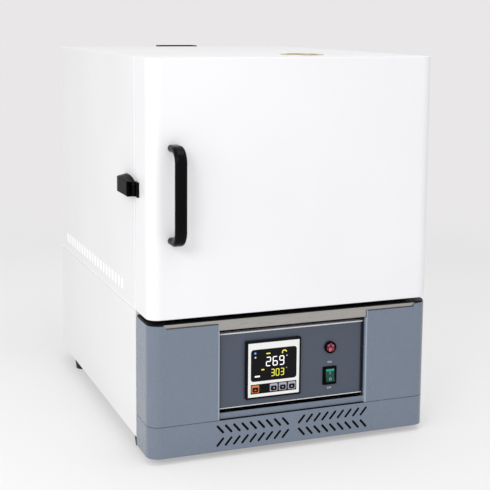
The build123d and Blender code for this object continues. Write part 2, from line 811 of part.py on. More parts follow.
plug_half = (chamber_width / 2 + plug_shoulder, chamber_height / 2 + plug_shoulder)
with BuildPart() as door_inner_pan:
    # Flat stainless back of the door, with a window for the plug
    with BuildSketch(facing(door_back - pan_recess)):
        with Locations((0, (split_level + height) / 2)):
            Rectangle(width - 2 * door_sheet - 2 * fit_gap,
                      height - split_level - 2 * door_sheet - 2 * fit_gap)
        with Locations((0, chamber_level)):
            Rectangle(2 * (plug_half[0] + fit_gap), 2 * (plug_half[1] + fit_gap),
                      mode=Mode.SUBTRACT)
    extrude(amount=pan_sheet)
finish(door_inner_pan, "door_inner_pan")

with BuildPart() as door_plug:
    # Stepped fibre plug: a wide seat in the door and a tapered nose into the mouth
    with BuildSketch(facing(door_back - plug_base)):
        with Locations((0, chamber_level)):
            Rectangle(2 * plug_half[0], 2 * plug_half[1])
    extrude(amount=-plug_base)
    with BuildSketch(facing(door_back)):
        with Locations((0, chamber_level)):
            Rectangle(chamber_width - 2 * plug_gap, chamber_height - 2 * plug_gap)
    extrude(amount=-(muffle_front + plug_entry - door_back), taper=plug_draft)
    fillet(door_plug.faces().sort_by(Axis.Y)[-1].edges(), 3 * door_sheet)
finish(door_plug, "door_plug")

with BuildPart() as door_insulation:
    # Board that fills the door, let in for the plug
    board_x = side - flange
    board_z = (height - split_level) / 2 - flange
    board_front = front + insulation_front_gap
    board_back = door_back - pan_recess - pan_sheet - fit_gap
    block((-board_x, board_x), (board_front, board_back),
          ((split_level + height) / 2 - board_z, (split_level + height) / 2 + board_z))
    block((-plug_half[0] - fit_gap, plug_half[0] + fit_gap),
          (door_back - plug_base - fit_gap, door_back),
          (chamber_level - plug_half[1] - fit_gap, chamber_level + plug_half[1] + fit_gap),
          mode=Mode.SUBTRACT)
    fillet(door_insulation.edges().filter_by(Axis.Z).group_by(Axis.Y)[0], flange / 2)
finish(door_insulation, "door_insulation")

with BuildPart() as door_gasket:
    # Flat woven gasket on the plug's seat, against the front frame
    gasket_inner = (chamber_width + 2 * mouth_rim + 2 * seam,
                    chamber_height + 2 * mouth_rim + 2 * seam)
    with BuildSketch(facing(door_back)):
        with Locations((0, chamber_level)):
            RectangleRounded(gasket_inner[0] + 2 * gasket_width, gasket_inner[1] + 2 * gasket_width,
                             gasket_width)
            Rectangle(*gasket_inner, mode=Mode.SUBTRACT)
    extrude(amount=-(door_gap - fit_gap))
finish(door_gasket, "door_gasket")

with BuildPart() as door_handle:
    # Bow handle: one flattened section swept up, over and back
    with BuildLine(from_left(handle_x)) as grip_path:
        FilletPolyline((front, handle_legs[1][1]), (front - handle_reach, handle_legs[1][1]),
                       (front - handle_reach, handle_legs[0][1]), (front, handle_legs[0][1]),
                       radius=handle_bend)
    with BuildSketch(facing(front)):
        with Locations(handle_legs[1]):
            RectangleRounded(grip_width, grip_thickness, grip_thickness * 0.46)
    sweep(path=grip_path.line)
    with BuildSketch(facing(front)):
        with Locations(*handle_legs):
            Circle(handle_screw_radius + fit_gap)
    extrude(amount=handle_screw_bite + fit_gap, mode=Mode.SUBTRACT)
finish(door_handle, "door_handle")

with BuildPart() as handle_screws:
    # From inside the door's skin into the handle's legs
    head_seat = front + door_sheet
    with BuildSketch(facing(head_seat)):
        with Locations(*handle_legs):
            Circle(2 * handle_screw_radius)
    extrude(amount=-handle_screw_radius)
    with BuildSketch(facing(head_seat)):
        with Locations(*handle_legs):
            Circle(handle_screw_radius)
    extrude(amount=handle_screw_bite + door_sheet)
finish(handle_screws, "handle_screws")

# ---- Hinges -----------------------------------------------------------------------


def hinge_half(name, upper, bore, y_plate, y_edge):
    """Leaves of one half: a plate on the side, a tongue and a barrel round the pin."""
    with BuildPart() as leaves:
        for level in hinge_levels:
            low, high = level - hinge_height / 2, level + hinge_height / 2
            half = (level + hinge_slack / 2, high) if upper else (low, level - hinge_slack / 2)
            block((side, side + hinge_leaf), sorted(y_plate), (low, high))
            block((side, side + hinge_leaf), sorted((y_plate[0], y_edge)), half)
            with BuildSketch(Plane.XY.offset(half[0])):
                with Locations((hinge_x, hinge_y)):
                    Circle(hinge_barrel)
            extrude(amount=half[1] - half[0])
        for level in hinge_levels:
            with BuildSketch(Plane.XY.offset(level - hinge_height / 2)):
                with Locations((hinge_x, hinge_y)):
                    Circle(bore)
            extrude(amount=hinge_height, mode=Mode.SUBTRACT)
    finish(leaves, name)
    return leaves


leaf_start = hinge_barrel + hinge_leaf_gap
cabinet_hinge_leaves = hinge_half("cabinet_hinge_leaves", False, hinge_pin,
                                  (hinge_y + leaf_start, hinge_y + leaf_start + hinge_leaf_length),
                                  body_front + fit_gap)
door_hinge_leaves = hinge_half("door_hinge_leaves", True, hinge_pin + hinge_running,
                               (hinge_y - leaf_start, hinge_y - leaf_start - hinge_leaf_length),
                               door_back - fit_gap)

with BuildPart() as hinge_pins:
    for level in hinge_levels:
        with BuildSketch(Plane.XY.offset(level - hinge_height / 2)):
            with Locations((hinge_x, hinge_y)):
                Circle(hinge_pin)
        extrude(amount=hinge_height - hinge_slack)
finish(hinge_pins, "hinge_pins")

# ---- Latch ------------------------------------------------------------------------

groove_y = door_back - keeper_inset
nose_y = door_back - latch_lap
keeper_top = keeper_plate + keeper_rib
bolt_inner = keeper_top + bolt_clearance

with BuildPart() as latch_keeper:
    # Plate on the door's side with two upright ribs
    low = latch_level - keeper_height / 2
    block((-side - keeper_plate, -side),
          (groove_y - keeper_length / 2, groove_y + keeper_length / 2), (low, low + keeper_height))
    rib_y = [groove_y + s * (keeper_groove + keeper_rib_width) / 2 for s in (-1, 1)]
    with BuildSketch(Plane.XY.offset(low)) as rib_plan:
        with Locations(*[(-side - keeper_top / 2, y) for y in rib_y]):
            Rectangle(keeper_top, keeper_rib_width)
        fillet(rib_plan.vertices().group_by(Axis.X)[0], keeper_rib_width * 0.4)
    extrude(amount=keeper_height)
finish(latch_keeper, "latch_keeper")

with BuildPart() as latch_bolt:
    # Sprung arm with a round nose that drops between the keeper's ribs
    with BuildSketch(Plane.XY.offset(latch_level - bolt_height / 2)):
        with Locations((-side - bolt_inner - bolt_thickness / 2,
                        (groove_y + nose_y + bolt_tail) / 2)):
            Rectangle(bolt_thickness, keeper_inset - latch_lap + bolt_tail)
        with Locations((-side - keeper_plate - bolt_float - bolt_nose, groove_y)):
            Circle(bolt_nose)
    extrude(amount=bolt_height)
finish(latch_bolt, "latch_bolt")

with BuildPart() as latch_housing:
    # Square outside, arched beside the cabinet; its nose is clear of the door
    tail_y = nose_y + latch_length
    low, high = latch_level - latch_height / 2, latch_level + latch_height / 2
    with BuildSketch(from_left(-side)):
        with BuildLine():
            ThreePointArc((nose_y, high - latch_dip),
                          (nose_y + latch_crest * latch_length, high + latch_crown),
                          (tail_y, high + latch_dip))
            Polyline((tail_y, high + latch_dip), (tail_y, low), (nose_y, low),
                     (nose_y, high - latch_dip))
        make_face()
    with BuildSketch(from_left(-side - side_proud)):
        with BuildLine():
            Polyline((nose_y, high), (tail_y, high), (tail_y, low), (nose_y, low), close=True)
        make_face()
    loft()
    fillet(latch_housing.faces().sort_by(Axis.X)[0].edges(), latch_edge)
    block((-side - side_proud + latch_cover, -side - side_proud + latch_cover + latch_seam),
          (nose_y + latch_cover, tail_y - latch_cover), (high - latch_seam, high + latch_crown),
          mode=Mode.SUBTRACT)
    block((-side - latch_nose_gap, -side), (nose_y, body_front), (low, high + latch_crown),
          mode=Mode.SUBTRACT)
    block((-side - bolt_inner - bolt_thickness - bolt_travel - bolt_clearance,
           -side - bolt_inner + bolt_clearance),
          (nose_y, nose_y + bolt_tail + bolt_clearance),
          (latch_level - bolt_height / 2 - bolt_clearance,
           latch_level + bolt_height / 2 + bolt_clearance), mode=Mode.SUBTRACT)
finish(latch_housing, "latch_housing")

# ---- Base, front ------------------------------------------------------------------

base_side = side - base_inset
base_rear = body_front - seam
sill_top = fascia_top + sill_step
base_outline = front_plan(base_side, front, base_rear, corner_radius)
base_hollow = front_plan(base_side - base_sheet, front + base_sheet, base_rear + base_sheet,
                         corner_radius - base_sheet)
plate_outline = front_plan(base_side - top_plate_inset, front + top_plate_inset, base_rear,
                           corner_radius - top_plate_inset)


def base_wall(z_low, z_high):
    """Upright wall round the front of the base, open at the back."""
    with BuildSketch(Plane.XY.offset(z_low)) as wall_plan:
        add(base_outline)
        add(base_hollow, mode=Mode.SUBTRACT)
    extrude(wall_plan.sketch, amount=z_high - z_low)


with BuildPart() as plinth:
    # Kick plate, turned in below, with two rows of leaning slots in a herringbone
    base_wall(plinth_bottom, plinth_top)
    with BuildSketch(Plane.XY.offset(plinth_bottom)):
        add(base_outline)
        with Locations((0, front + plinth_return + depth / 2)):
            Rectangle(width, depth, mode=Mode.SUBTRACT)
    extrude(amount=base_sheet)
    slot_angle = degrees(atan2(slot_rise, slot_run))
    slot_length = hypot(slot_rise, slot_run)
    with BuildSketch(facing(front)):
        for s in (-1, 1):
            for level, lean in ((plinth_top - slot_drop, s),
                                (plinth_top - slot_drop - slot_row_pitch, -s)):
                with Locations(*[(s * (slot_first + i * slot_pitch), level)
                                 for i in range(slot_columns)]):
                    SlotOverall(slot_length, slot_width, rotation=lean * slot_angle)
    extrude(amount=-2 * base_sheet, mode=Mode.SUBTRACT)
finish(plinth, "plinth")

with BuildPart() as base_fascia:
    # Wings either side of the panel's recess, joined by a rail under it
    base_wall(fascia_bottom, fascia_top)
    block((-recess_half, recess_half), (front - base_sheet, front + 2 * base_sheet),
          (fascia_bottom - base_sheet, fascia_top + base_sheet), mode=Mode.SUBTRACT)
    with BuildSketch(facing(front)):
        with BuildLine():
            Polyline((-notch_half, fascia_top - notch_depth), (notch_half, fascia_top - notch_depth),
                     (notch_half + notch_depth, fascia_top), (-notch_half - notch_depth, fascia_top),
                     close=True)
        make_face()
    extrude(amount=-2 * base_sheet, mode=Mode.SUBTRACT)
    for s in (-1, 1):
        block(sorted((s * (recess_half - base_sheet), s * recess_half)),
              (front, front + return_depth), (fascia_bottom, sill_bottom - sill_sheet))
        block(sorted((s * (recess_half - base_sheet), s * (recess_half + base_sheet))),
              (front, front + base_sheet), (fascia_bottom, sill_bottom - sill_sheet))
    block((-recess_half, recess_half), (front + rail_setback, front + rail_setback + base_sheet),
          (fascia_bottom, rail_top))
    fillet(base_fascia.edges().filter_by(Axis.Z).filter_by(
        lambda e: abs(abs(e.center().X) - recess_half + base_sheet) < seat_gap
        and e.center().Y < front + seat_gap), base_sheet * 0.8)
finish(base_fascia, "base_fascia")

with BuildPart() as sill_strip:
    # Stainless strip over the panel, turned back at its top and its lower edge
    y0 = front + sill_setback
    with BuildSketch(from_left(-notch_half - notch_depth)) as strip_profile:
        with BuildLine():
            Polyline((y0, sill_bottom), (y0 + sill_lip, sill_bottom),
                     (y0 + sill_lip, sill_bottom + sill_sheet),
                     (y0 + sill_sheet, sill_bottom + sill_sheet),
                     (y0 + sill_sheet, sill_top - sill_sheet),
                     (front + sill_back, sill_top - sill_sheet),
                     (front + sill_back, sill_top), (y0, sill_top), close=True)
        make_face()
    extrude(amount=2 * (notch_half + notch_depth))
finish(sill_strip, "sill_strip")

with BuildPart() as base_top_plate:
    # Black plate over the base, under the door
    with BuildSketch(Plane.XY.offset(sill_top)):
        add(plate_outline)
    extrude(amount=top_plate)
finish(base_top_plate, "base_top_plate")

# ---- Control panel ----------------------------------------------------------------

with BuildPart() as control_panel:
    # Flat panel folded back on all four sides, with its cut-outs
    panel_half = recess_half - base_sheet - panel_side_gap
    block((-panel_half, panel_half), (panel_face, panel_face + panel_fold),
          panel_levels)
    block((-panel_half + base_sheet, panel_half - base_sheet),
          (panel_face + base_sheet, panel_face + panel_fold),
          (panel_levels[0] + base_sheet, panel_levels[1] - base_sheet), mode=Mode.SUBTRACT)
    fillet(control_panel.faces().sort_by(Axis.Y)[0].edges(), base_sheet)
    with BuildSketch(facing(panel_face)):
        with Locations((controller_x, controller_level)):
            Rectangle(controller_body + 2 * fit_gap, controller_body + 2 * fit_gap)
        with Locations((lamp_x, lamp_level)):
            Circle(lamp_body + fit_gap)
        with Locations((lamp_x, switch_level)):
            Rectangle(switch_body_width + 2 * fit_gap, switch_body_height + 2 * fit_gap)
    extrude(amount=-base_sheet, mode=Mode.SUBTRACT)
finish(control_panel, "control_panel")

bezel_face = panel_face - controller_bezel
strip_level = controller_level - key_strip_below
strip_face = bezel_face + key_strip_recess
window_level = controller_level + window_above
key_names = ("key_set", "key_shift", "key_down", "key_up")

with BuildPart() as controller_case:
    # Square bezel with a recess for its window, a key strip and a well per key
    with BuildSketch(facing(panel_face)):
        with Locations((controller_x, controller_level)):
            RectangleRounded(controller_size, controller_size, controller_corner)
    extrude(amount=controller_bezel)
    chamfer(controller_case.faces().sort_by(Axis.Y)[0].edges(), controller_corner / 2)
    with BuildSketch(facing(panel_face)):
        with Locations((controller_x, controller_level)):
            Rectangle(controller_body, controller_body)
    extrude(amount=-controller_length)
    with BuildSketch(facing(bezel_face)):
        with Locations((controller_x, window_level)):
            RectangleRounded(window_width, window_height, window_radius)
    extrude(amount=-window_recess, mode=Mode.SUBTRACT)
    with BuildSketch(facing(bezel_face)):
        with Locations((controller_x, strip_level)):
            Rectangle(window_width, key_strip_height)
    extrude(amount=-key_strip_recess, mode=Mode.SUBTRACT)
    with BuildSketch(facing(strip_face)):
        with Locations(*[(controller_x + x, strip_level) for x in key_places]):
            Rectangle(key_width + 2 * key_fit, key_height + 2 * key_fit)
    extrude(amount=-key_pocket, mode=Mode.SUBTRACT)
finish(controller_case, "controller_case")

with BuildPart() as controller_window:
    with BuildSketch(facing(bezel_face + window_recess)):
        with Locations((controller_x, window_level)):
            RectangleRounded(window_width - 2 * seat_gap, window_height - 2 * seat_gap,
                             window_radius - seat_gap)
    extrude(amount=window_thickness)
finish(controller_window, "controller_window")

for name, x in zip(key_names, key_places):
    with BuildPart() as key:
        with BuildSketch(facing(strip_face + key_pocket - key_travel - seat_gap)):
            with Locations((controller_x + x, strip_level)):
                RectangleRounded(key_width, key_height, controller_corner)
        extrude(amount=key_pocket + key_proud - key_travel - seat_gap)
        fillet(key.faces().sort_by(Axis.Y)[0].edges(), seat_gap)
    finish(key, name)

with BuildPart() as pilot_lamp:
    # Round bezel with a well for the lens, and the lamp's body behind the panel
    with BuildSketch(facing(panel_face)):
        with Locations((lamp_x, lamp_level)):
            Circle(lamp_radius)
            Circle(lens_radius + seat_gap, mode=Mode.SUBTRACT)
    extrude(amount=lamp_rim)
    chamfer(pilot_lamp.faces().sort_by(Axis.Y)[0].edges(), seam)
    with BuildSketch(facing(panel_face - seam)):
        with Locations((lamp_x, lamp_level)):
            Circle(lamp_body)
    extrude(amount=-lamp_length)
finish(pilot_lamp, "pilot_lamp")

with BuildPart() as pilot_lens:
    with BuildSketch(facing(panel_face - seam)):
        with Locations((lamp_x, lamp_level)):
            Circle(lens_radius)
    extrude(amount=lamp_proud - seam)
    chamfer(pilot_lens.faces().sort_by(Axis.Y)[0].edges(), lens_edge)
finish(pilot_lens, "pilot_lens")

rim_face = panel_face - switch_rim
rocker_axis = rim_face + rocker_pivot
well_width = rocker_width + 2 * rocker_gap
well_height = rocker_height + 2 * rocker_end_gap

with BuildPart() as switch_housing:
    with BuildSketch(facing(panel_face)):
        with Locations((lamp_x, switch_level)):
            RectangleRounded(switch_width, switch_height, switch_corner)
    extrude(amount=switch_rim)
    chamfer(switch_housing.faces().sort_by(Axis.Y)[0].edges(), switch_corner / 2)
    with BuildSketch(facing(panel_face)):
        with Locations((lamp_x, switch_level)):
            Rectangle(switch_body_width, switch_body_height)
    extrude(amount=-switch_length)
    with BuildSketch(facing(rim_face)):
        with Locations((lamp_x, switch_level)):
            Rectangle(well_width, well_height)
    extrude(amount=-rocker_well, mode=Mode.SUBTRACT)
    with BuildSketch(from_left(lamp_x)):
        with Locations((rocker_axis, switch_level)):
            Circle(rocker_axle + rocker_bore_gap)
    extrude(amount=rocker_width / 2 + rocker_ear + rocker_bore_gap, both=True, mode=Mode.SUBTRACT)
finish(switch_housing, "switch_housing")

with BuildPart() as rocker:
    # Rests switched on, its upper half pressed in
    rest = radians(-rocker_angle)
    rocker_side = Plane(origin=(lamp_x, rocker_axis, switch_level),
                        x_dir=(0, cos(rest), sin(rest)), z_dir=(1, 0, 0))
    crest = rocker_pivot + rocker_crest
    tip = crest + rocker_height / 2 * sin(radians(rocker_angle))
    with BuildSketch(rocker_side):
        with BuildLine():
            Polyline((-crest, 0), (-tip, rocker_height / 2), (-rocker_axle / 2, rocker_height / 2),
                     (1.5 * rocker_axle, rocker_height / 5), (1.5 * rocker_axle, -rocker_height / 5),
                     (-rocker_axle / 2, -rocker_height / 2), (-tip, -rocker_height / 2), close=True)
        make_face()
    extrude(amount=rocker_width / 2, both=True)
    with BuildSketch(rocker_side):
        Circle(rocker_axle)
    extrude(amount=rocker_width / 2 + rocker_ear, both=True)
finish(rocker, "rocker")

# ---- Electrics --------------------------------------------------------------------

pan_floor = foot_height + deck_sheet
electrics_y = back - electrics_inset

with BuildPart() as heat_sink:
    # Extruded sink, fins down on the pan, flat on top for the relay
    block((relay_x - sink_width / 2, relay_x + sink_width / 2),
          (electrics_y - sink_length / 2, electrics_y + sink_length / 2),
          (pan_floor + sink_height - sink_base, pan_floor + sink_height))
    fin_pitch = (sink_width - sink_fin) / (sink_fins - 1)
    for i in range(sink_fins):
        x = relay_x - sink_width / 2 + i * fin_pitch
        block((x, x + sink_fin), (electrics_y - sink_length / 2, electrics_y + sink_length / 2),
              (pan_floor, pan_floor + sink_height - sink_base))
finish(heat_sink, "heat_sink")

with BuildPart() as solid_state_relay:
    relay_foot = pan_floor + sink_height
    block((relay_x - relay_width / 2, relay_x + relay_width / 2),
          (electrics_y - relay_length / 2, electrics_y + relay_length / 2),
          (relay_foot, relay_foot + relay_height))
    for s in (-1, 1):
        block((relay_x - relay_width / 2, relay_x + relay_width / 2),
              sorted((electrics_y + s * relay_length / 4, electrics_y + s * relay_length / 2)),
              (relay_foot + relay_height * 2 / 3, relay_foot + relay_height), mode=Mode.SUBTRACT)
finish(solid_state_relay, "solid_state_relay")

with BuildPart() as terminal_block:
    # One moulding with a pair of wells for each way
    block_half = terminal_ways * terminal_pitch / 2
    block((terminal_x - block_half, terminal_x + block_half),
          (electrics_y - terminal_depth / 2, electrics_y + terminal_depth / 2),
          (pan_floor, pan_floor + terminal_height))
    with BuildSketch(Plane.XY.offset(pan_floor + terminal_height)):
        with Locations((terminal_x, electrics_y)):
            with GridLocations(terminal_pitch, terminal_depth / 2, terminal_ways, 2):
                Rectangle(terminal_pitch * 0.7, terminal_pitch * 0.7)
    extrude(amount=-terminal_height / 2, mode=Mode.SUBTRACT)
finish(terminal_block, "terminal_block")

breaker_face = back + breaker_proud
toggle_y = breaker_face - toggle_sunk

with BuildPart() as circuit_breaker:
    # Two-pole breaker: its raised front comes out through the rear cover
    block((breaker_x - breaker_width / 2, breaker_x + breaker_width / 2),
          (breaker_seat, back - 2 * sheet),
          (breaker_level - breaker_height / 2, breaker_level + breaker_height / 2))
    block((breaker_x - breaker_width / 2, breaker_x + breaker_width / 2),
          (breaker_seat, breaker_face),
          (breaker_level - breaker_step / 2, breaker_level + breaker_step / 2))
    with BuildSketch(from_left(breaker_x)):
        with Locations((toggle_y, breaker_level)):
            Circle(toggle_radius + toggle_gap)
    extrude(amount=toggle_width / 2 + toggle_gap, both=True, mode=Mode.SUBTRACT)
    with BuildSketch(from_left(breaker_x)):
        with Locations((toggle_y, breaker_level)):
            Circle(toggle_axle + toggle_running)
    extrude(amount=toggle_width / 2 + toggle_ear + seat_gap, both=True, mode=Mode.SUBTRACT)
finish(circuit_breaker, "circuit_breaker")

with BuildPart() as breaker_toggle:
    # Drum with a lever, resting up
    up = radians(toggle_angle)
    toggle_side = Plane(origin=(breaker_x, toggle_y, breaker_level),
                        x_dir=(0, cos(up), sin(up)), z_dir=(1, 0, 0))
    with BuildSketch(toggle_side):
        Circle(toggle_radius)
        with Locations((toggle_lever / 2, 0)):
            Rectangle(toggle_lever, toggle_thickness)
    extrude(amount=toggle_width / 2, both=True)
    fillet(breaker_toggle.edges().filter_by(Axis.X).sort_by(Axis.Y)[-2:], toggle_thickness / 3)
    with BuildSketch(toggle_side):
        Circle(toggle_axle)
    extrude(amount=toggle_width / 2 + toggle_ear, both=True)
finish(breaker_toggle, "breaker_toggle")

with BuildPart() as cable_gland:
    # Gland for the supply, clamped on the rear cover between two hexagons
    with BuildSketch(facing(back)):
        with Locations((gland_x, gland_level)):
            RegularPolygon(gland_nut, 6)
    extrude(amount=-gland_nut_height)
    with BuildSketch(facing(back)):
        with Locations((gland_x, gland_level)):
            Circle(gland_thread)
    extrude(amount=-gland_reach)
    fillet(cable_gland.edges().sort_by(Axis.Y)[-1], 3 * sheet)
    with BuildSketch(facing(back)):
        with Locations((gland_x, gland_level)):
            Circle(gland_thread)
    extrude(amount=gland_inside)
    with BuildSketch(facing(back - sheet)):
        with Locations((gland_x, gland_level)):
            RegularPolygon(gland_nut, 6)
    extrude(amount=gland_nut_height)
    with BuildSketch(facing(back - gland_inside)):
        with Locations((gland_x, gland_level)):
            Circle(gland_bore)
    extrude(amount=-(gland_inside + gland_reach), mode=Mode.SUBTRACT)
finish(cable_gland, "cable_gland")
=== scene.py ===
import bpy
import bmesh
import json
from math import cos, pi, radians, sin
from mathutils import Euler, Matrix, Vector


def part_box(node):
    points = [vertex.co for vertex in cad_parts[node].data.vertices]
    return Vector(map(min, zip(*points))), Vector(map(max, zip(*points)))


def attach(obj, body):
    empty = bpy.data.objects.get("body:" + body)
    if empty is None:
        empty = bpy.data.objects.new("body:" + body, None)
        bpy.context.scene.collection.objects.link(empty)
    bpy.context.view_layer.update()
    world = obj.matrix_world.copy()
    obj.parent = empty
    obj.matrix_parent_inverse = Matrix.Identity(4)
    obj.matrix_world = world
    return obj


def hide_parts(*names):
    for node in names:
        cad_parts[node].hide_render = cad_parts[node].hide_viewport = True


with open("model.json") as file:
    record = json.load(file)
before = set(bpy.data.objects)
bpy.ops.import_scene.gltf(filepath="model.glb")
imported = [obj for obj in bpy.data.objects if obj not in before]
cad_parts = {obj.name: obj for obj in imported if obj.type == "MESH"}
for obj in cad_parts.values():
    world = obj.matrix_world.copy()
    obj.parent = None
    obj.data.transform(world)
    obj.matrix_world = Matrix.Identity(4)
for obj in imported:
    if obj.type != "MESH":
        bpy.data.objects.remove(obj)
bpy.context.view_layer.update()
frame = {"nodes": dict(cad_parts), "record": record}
nodes = frame["nodes"]
mm = 0.001    # in the metres that everything here is drawn in
print("frame loaded")


def fromHex(code):
    # sRGB hex to the linear numbers that shaders take, fully opaque
    parts = [int(code[i:i + 2], 16) / 255 for i in (1, 3, 5)]
    linear = [p / 12.92 if p <= 0.04045 else ((p + 0.055) / 1.055) ** 2.4 for p in parts]
    return (*linear, 1.0)


def addNode(tree, kind, inputs=None, **settings):
    # one node, its settings, and what feeds it: a socket is linked and anything else is a value
    node = tree.nodes.new(kind)
    for key, value in settings.items():
        setattr(node, key, value)
    for key, value in (inputs or {}).items():
        if isinstance(value, bpy.types.NodeSocket):
            tree.links.new(value, node.inputs[key])
        else:
            node.inputs[key].default_value = value
    return node


def compute(tree, operation, *values):
    # a maths node on numbers or sockets
    return addNode(tree, "ShaderNodeMath", dict(enumerate(values)), operation=operation).outputs[0]


def startMaterial(name, **shaderValues):
    # what is the same all over goes on the shader's sockets, with _ for a space in their names
    material = bpy.data.materials.new(name)
    material.use_nodes = True
    tree = material.node_tree
    shader = tree.nodes["Principled BSDF"]
    for key, value in shaderValues.items():
        shader.inputs[key.replace("_", " ")].default_value = value
    place = addNode(tree, "ShaderNodeTexCoord").outputs["Object"]
    return material, tree, shader, place


def cover(tree, shader, colour, roughness=None):
    # colour and roughness that change over the surface
    tree.links.new(colour, shader.inputs["Base Color"])
    if roughness is not None:
        tree.links.new(roughness, shader.inputs["Roughness"])


def perMillimetre(size):
    # texture scale that gives one feature every so many millimetres
    return 1 / (size * mm)


def speckle(tree, place, size, detail=3.0, roughness=0.5):
    return addNode(tree, "ShaderNodeTexNoise", {
        "Vector": place, "Scale": perMillimetre(size), "Detail": detail, "Roughness": roughness,
    }).outputs["Fac"]


def cells(tree, place, size, **settings):
    return addNode(tree, "ShaderNodeTexVoronoi", {
        "Vector": place, "Scale": perMillimetre(size)}, **settings).outputs


def spread(tree, value, low, high, lowIn=0.3, highIn=0.7):
    # most of a noise lies between 0.3 and 0.7, and this stretches that to low and high
    return addNode(tree, "ShaderNodeMapRange", {
        "Value": value, "From Min": lowIn, "From Max": highIn, "To Min": low, "To Max": high,
    }).outputs["Result"]


def blendColour(tree, amount, first, second):
    # colours are hex codes or sockets
    mix = addNode(tree, "ShaderNodeMix", data_type="RGBA")
    tree.links.new(amount, mix.inputs["Factor"])
    for socket, colour in ((mix.inputs[6], first), (mix.inputs[7], second)):
        if isinstance(colour, bpy.types.NodeSocket):
            tree.links.new(colour, socket)
        else:
            socket.default_value = fromHex(colour)
    return mix.outputs[2]


def markPlaces(tree, tone, place, marks):
    # repaints the parts of a surface that lie in a box: how far across either way, back and up,
    # all in millimetres, with the colour that shows there
    if not marks:
        return tone
    axes = addNode(tree, "ShaderNodeSeparateXYZ", {"Vector": place}).outputs
    across = compute(tree, "ABSOLUTE", axes["X"])
    for spans, colour in marks:
        inside = None
        for value, span in zip((across, axes["Y"], axes["Z"]), spans):
            if span is None:
                continue
            low, high = span
            here = compute(tree, "COMPARE", value, (low + high) / 2 * mm, (high - low) / 2 * mm)
            inside = here if inside is None else compute(tree, "MULTIPLY", inside, here)
        tone = blendColour(tree, inside, tone, colour)
    return tone


def dent(tree, shader, height, depth):
    # bumps of so many millimetres, on top of any that are there
    bump = addNode(tree, "ShaderNodeBump", {
        "Height": height, "Distance": depth * mm, "Strength": 1.0})
    if shader.inputs["Normal"].is_linked:
        tree.links.new(shader.inputs["Normal"].links[0].from_socket, bump.inputs["Normal"])
    tree.links.new(bump.outputs["Normal"], shader.inputs["Normal"])


def powderCoat(name, body, shade, gloss, marks=()):
    # Mild steel, sprayed with polyester powder and baked: the eye sees a faint orange peel
    # and slow changes of tone. The peel is drawn at 2.4 mm, a little coarser than real.
    material, tree, shader, place = startMaterial(
        name, IOR=1.5, Coat_Weight=0.2, Coat_Roughness=0.2)
    drift = spread(tree, speckle(tree, place, size=210, detail=2), 0, 1)
    sheen = speckle(tree, place, size=34, detail=4)
    cover(tree, shader, markPlaces(tree, blendColour(tree, drift, body, shade), place, marks),
          spread(tree, sheen, gloss - 0.03, gloss + 0.04))
    dent(tree, shader, speckle(tree, place, size=2.4, detail=1), depth=0.02)
    return material


def texturedCoat(name, body, shade, grain, gloss, shine=0.5):
    # Fine-texture powder on steel: small bumps that break up the shine
    material, tree, shader, place = startMaterial(name, IOR=1.5, Specular_IOR_Level=shine)
    grit = speckle(tree, place, size=grain, detail=3)
    tone = blendColour(tree, spread(tree, speckle(tree, place, size=90), 0, 1), body, shade)
    cover(tree, shader, blendColour(tree, spread(tree, grit, 0, 0.35), tone, shade),
          spread(tree, grit, gloss - 0.06, gloss + 0.08))
    dent(tree, shader, grit, depth=0.07)
    return material


def brushedStainless(name, body, shade, lay):
    # Stainless steel, belt-ground: long fine scratches one way, 0.5 mm apart. lay squeezes the
    # pattern along each axis, and the smallest share is the way the belt ran.
    material, tree, shader, place = startMaterial(name, Metallic=1.0)
    stretch = addNode(tree, "ShaderNodeMapping", {"Vector": place, "Scale": lay}).outputs["Vector"]
    scratch = speckle(tree, stretch, size=0.5, detail=4, roughness=0.65)
    cover(tree, shader, blendColour(tree, spread(tree, scratch, 0, 1), body, shade),
          spread(tree, scratch, 0.27, 0.42))
    dent(tree, shader, scratch, depth=0.012)
    return material


def galvanisedSteel(name):
    # Hot-dip zinc on steel sheet: pale crystals about 9 mm across, some duller than others
    material, tree, shader, place = startMaterial(name, Metallic=1.0)
    crystal = addNode(tree, "ShaderNodeSeparateColor", {"Color": cells(tree, place, 9)["Color"]})
    pick = crystal.outputs["Red"]
    cover(tree, shader, blendColour(tree, pick, "#9AA0A4", "#B9BEC0"),
          spread(tree, pick, 0.36, 0.56, lowIn=0, highIn=1))
    dent(tree, shader, speckle(tree, place, size=1.6), depth=0.01)
    return material


def zincPlated(name):
    # Bright zinc on small steel screws: a little uneven, faintly yellow
    material, tree, shader, place = startMaterial(name, Metallic=1.0)
    film = speckle(tree, place, size=1.8)
    cover(tree, shader, blendColour(tree, spread(tree, film, 0, 1), "#C9C8C2", "#A7A598"),
          spread(tree, film, 0.22, 0.4))
    return material


def mouldedPlastic(name, body, shade, grain, gloss, depth=0.02, shine=0.5, marks=()):
    # ABS, nylon or acrylic out of a steel mould: an even fine grain. Inks and films too.
    material, tree, shader, place = startMaterial(name, IOR=1.53, Specular_IOR_Level=shine)
    grit = speckle(tree, place, size=grain, detail=2)
    tone = blendColour(tree, spread(tree, speckle(tree, place, size=24), 0, 1), body, shade)
    cover(tree, shader, markPlaces(tree, tone, place, marks),
          spread(tree, grit, gloss - 0.04, gloss + 0.05))
    dent(tree, shader, grit, depth)
    return material


def mouldedRubber(name):
    # Black neoprene, moulded: matt, with a grey bloom in patches
    material, tree, shader, place = startMaterial(name, IOR=1.52)
    bloom = spread(tree, speckle(tree, place, size=7, detail=4), 0, 1, lowIn=0.45, highIn=0.75)
    cover(tree, shader, blendColour(tree, bloom, "#1B1B1C", "#333333"),
          spread(tree, speckle(tree, place, size=2), 0.72, 0.9))
    dent(tree, shader, speckle(tree, place, size=0.8), depth=0.03)
    return material


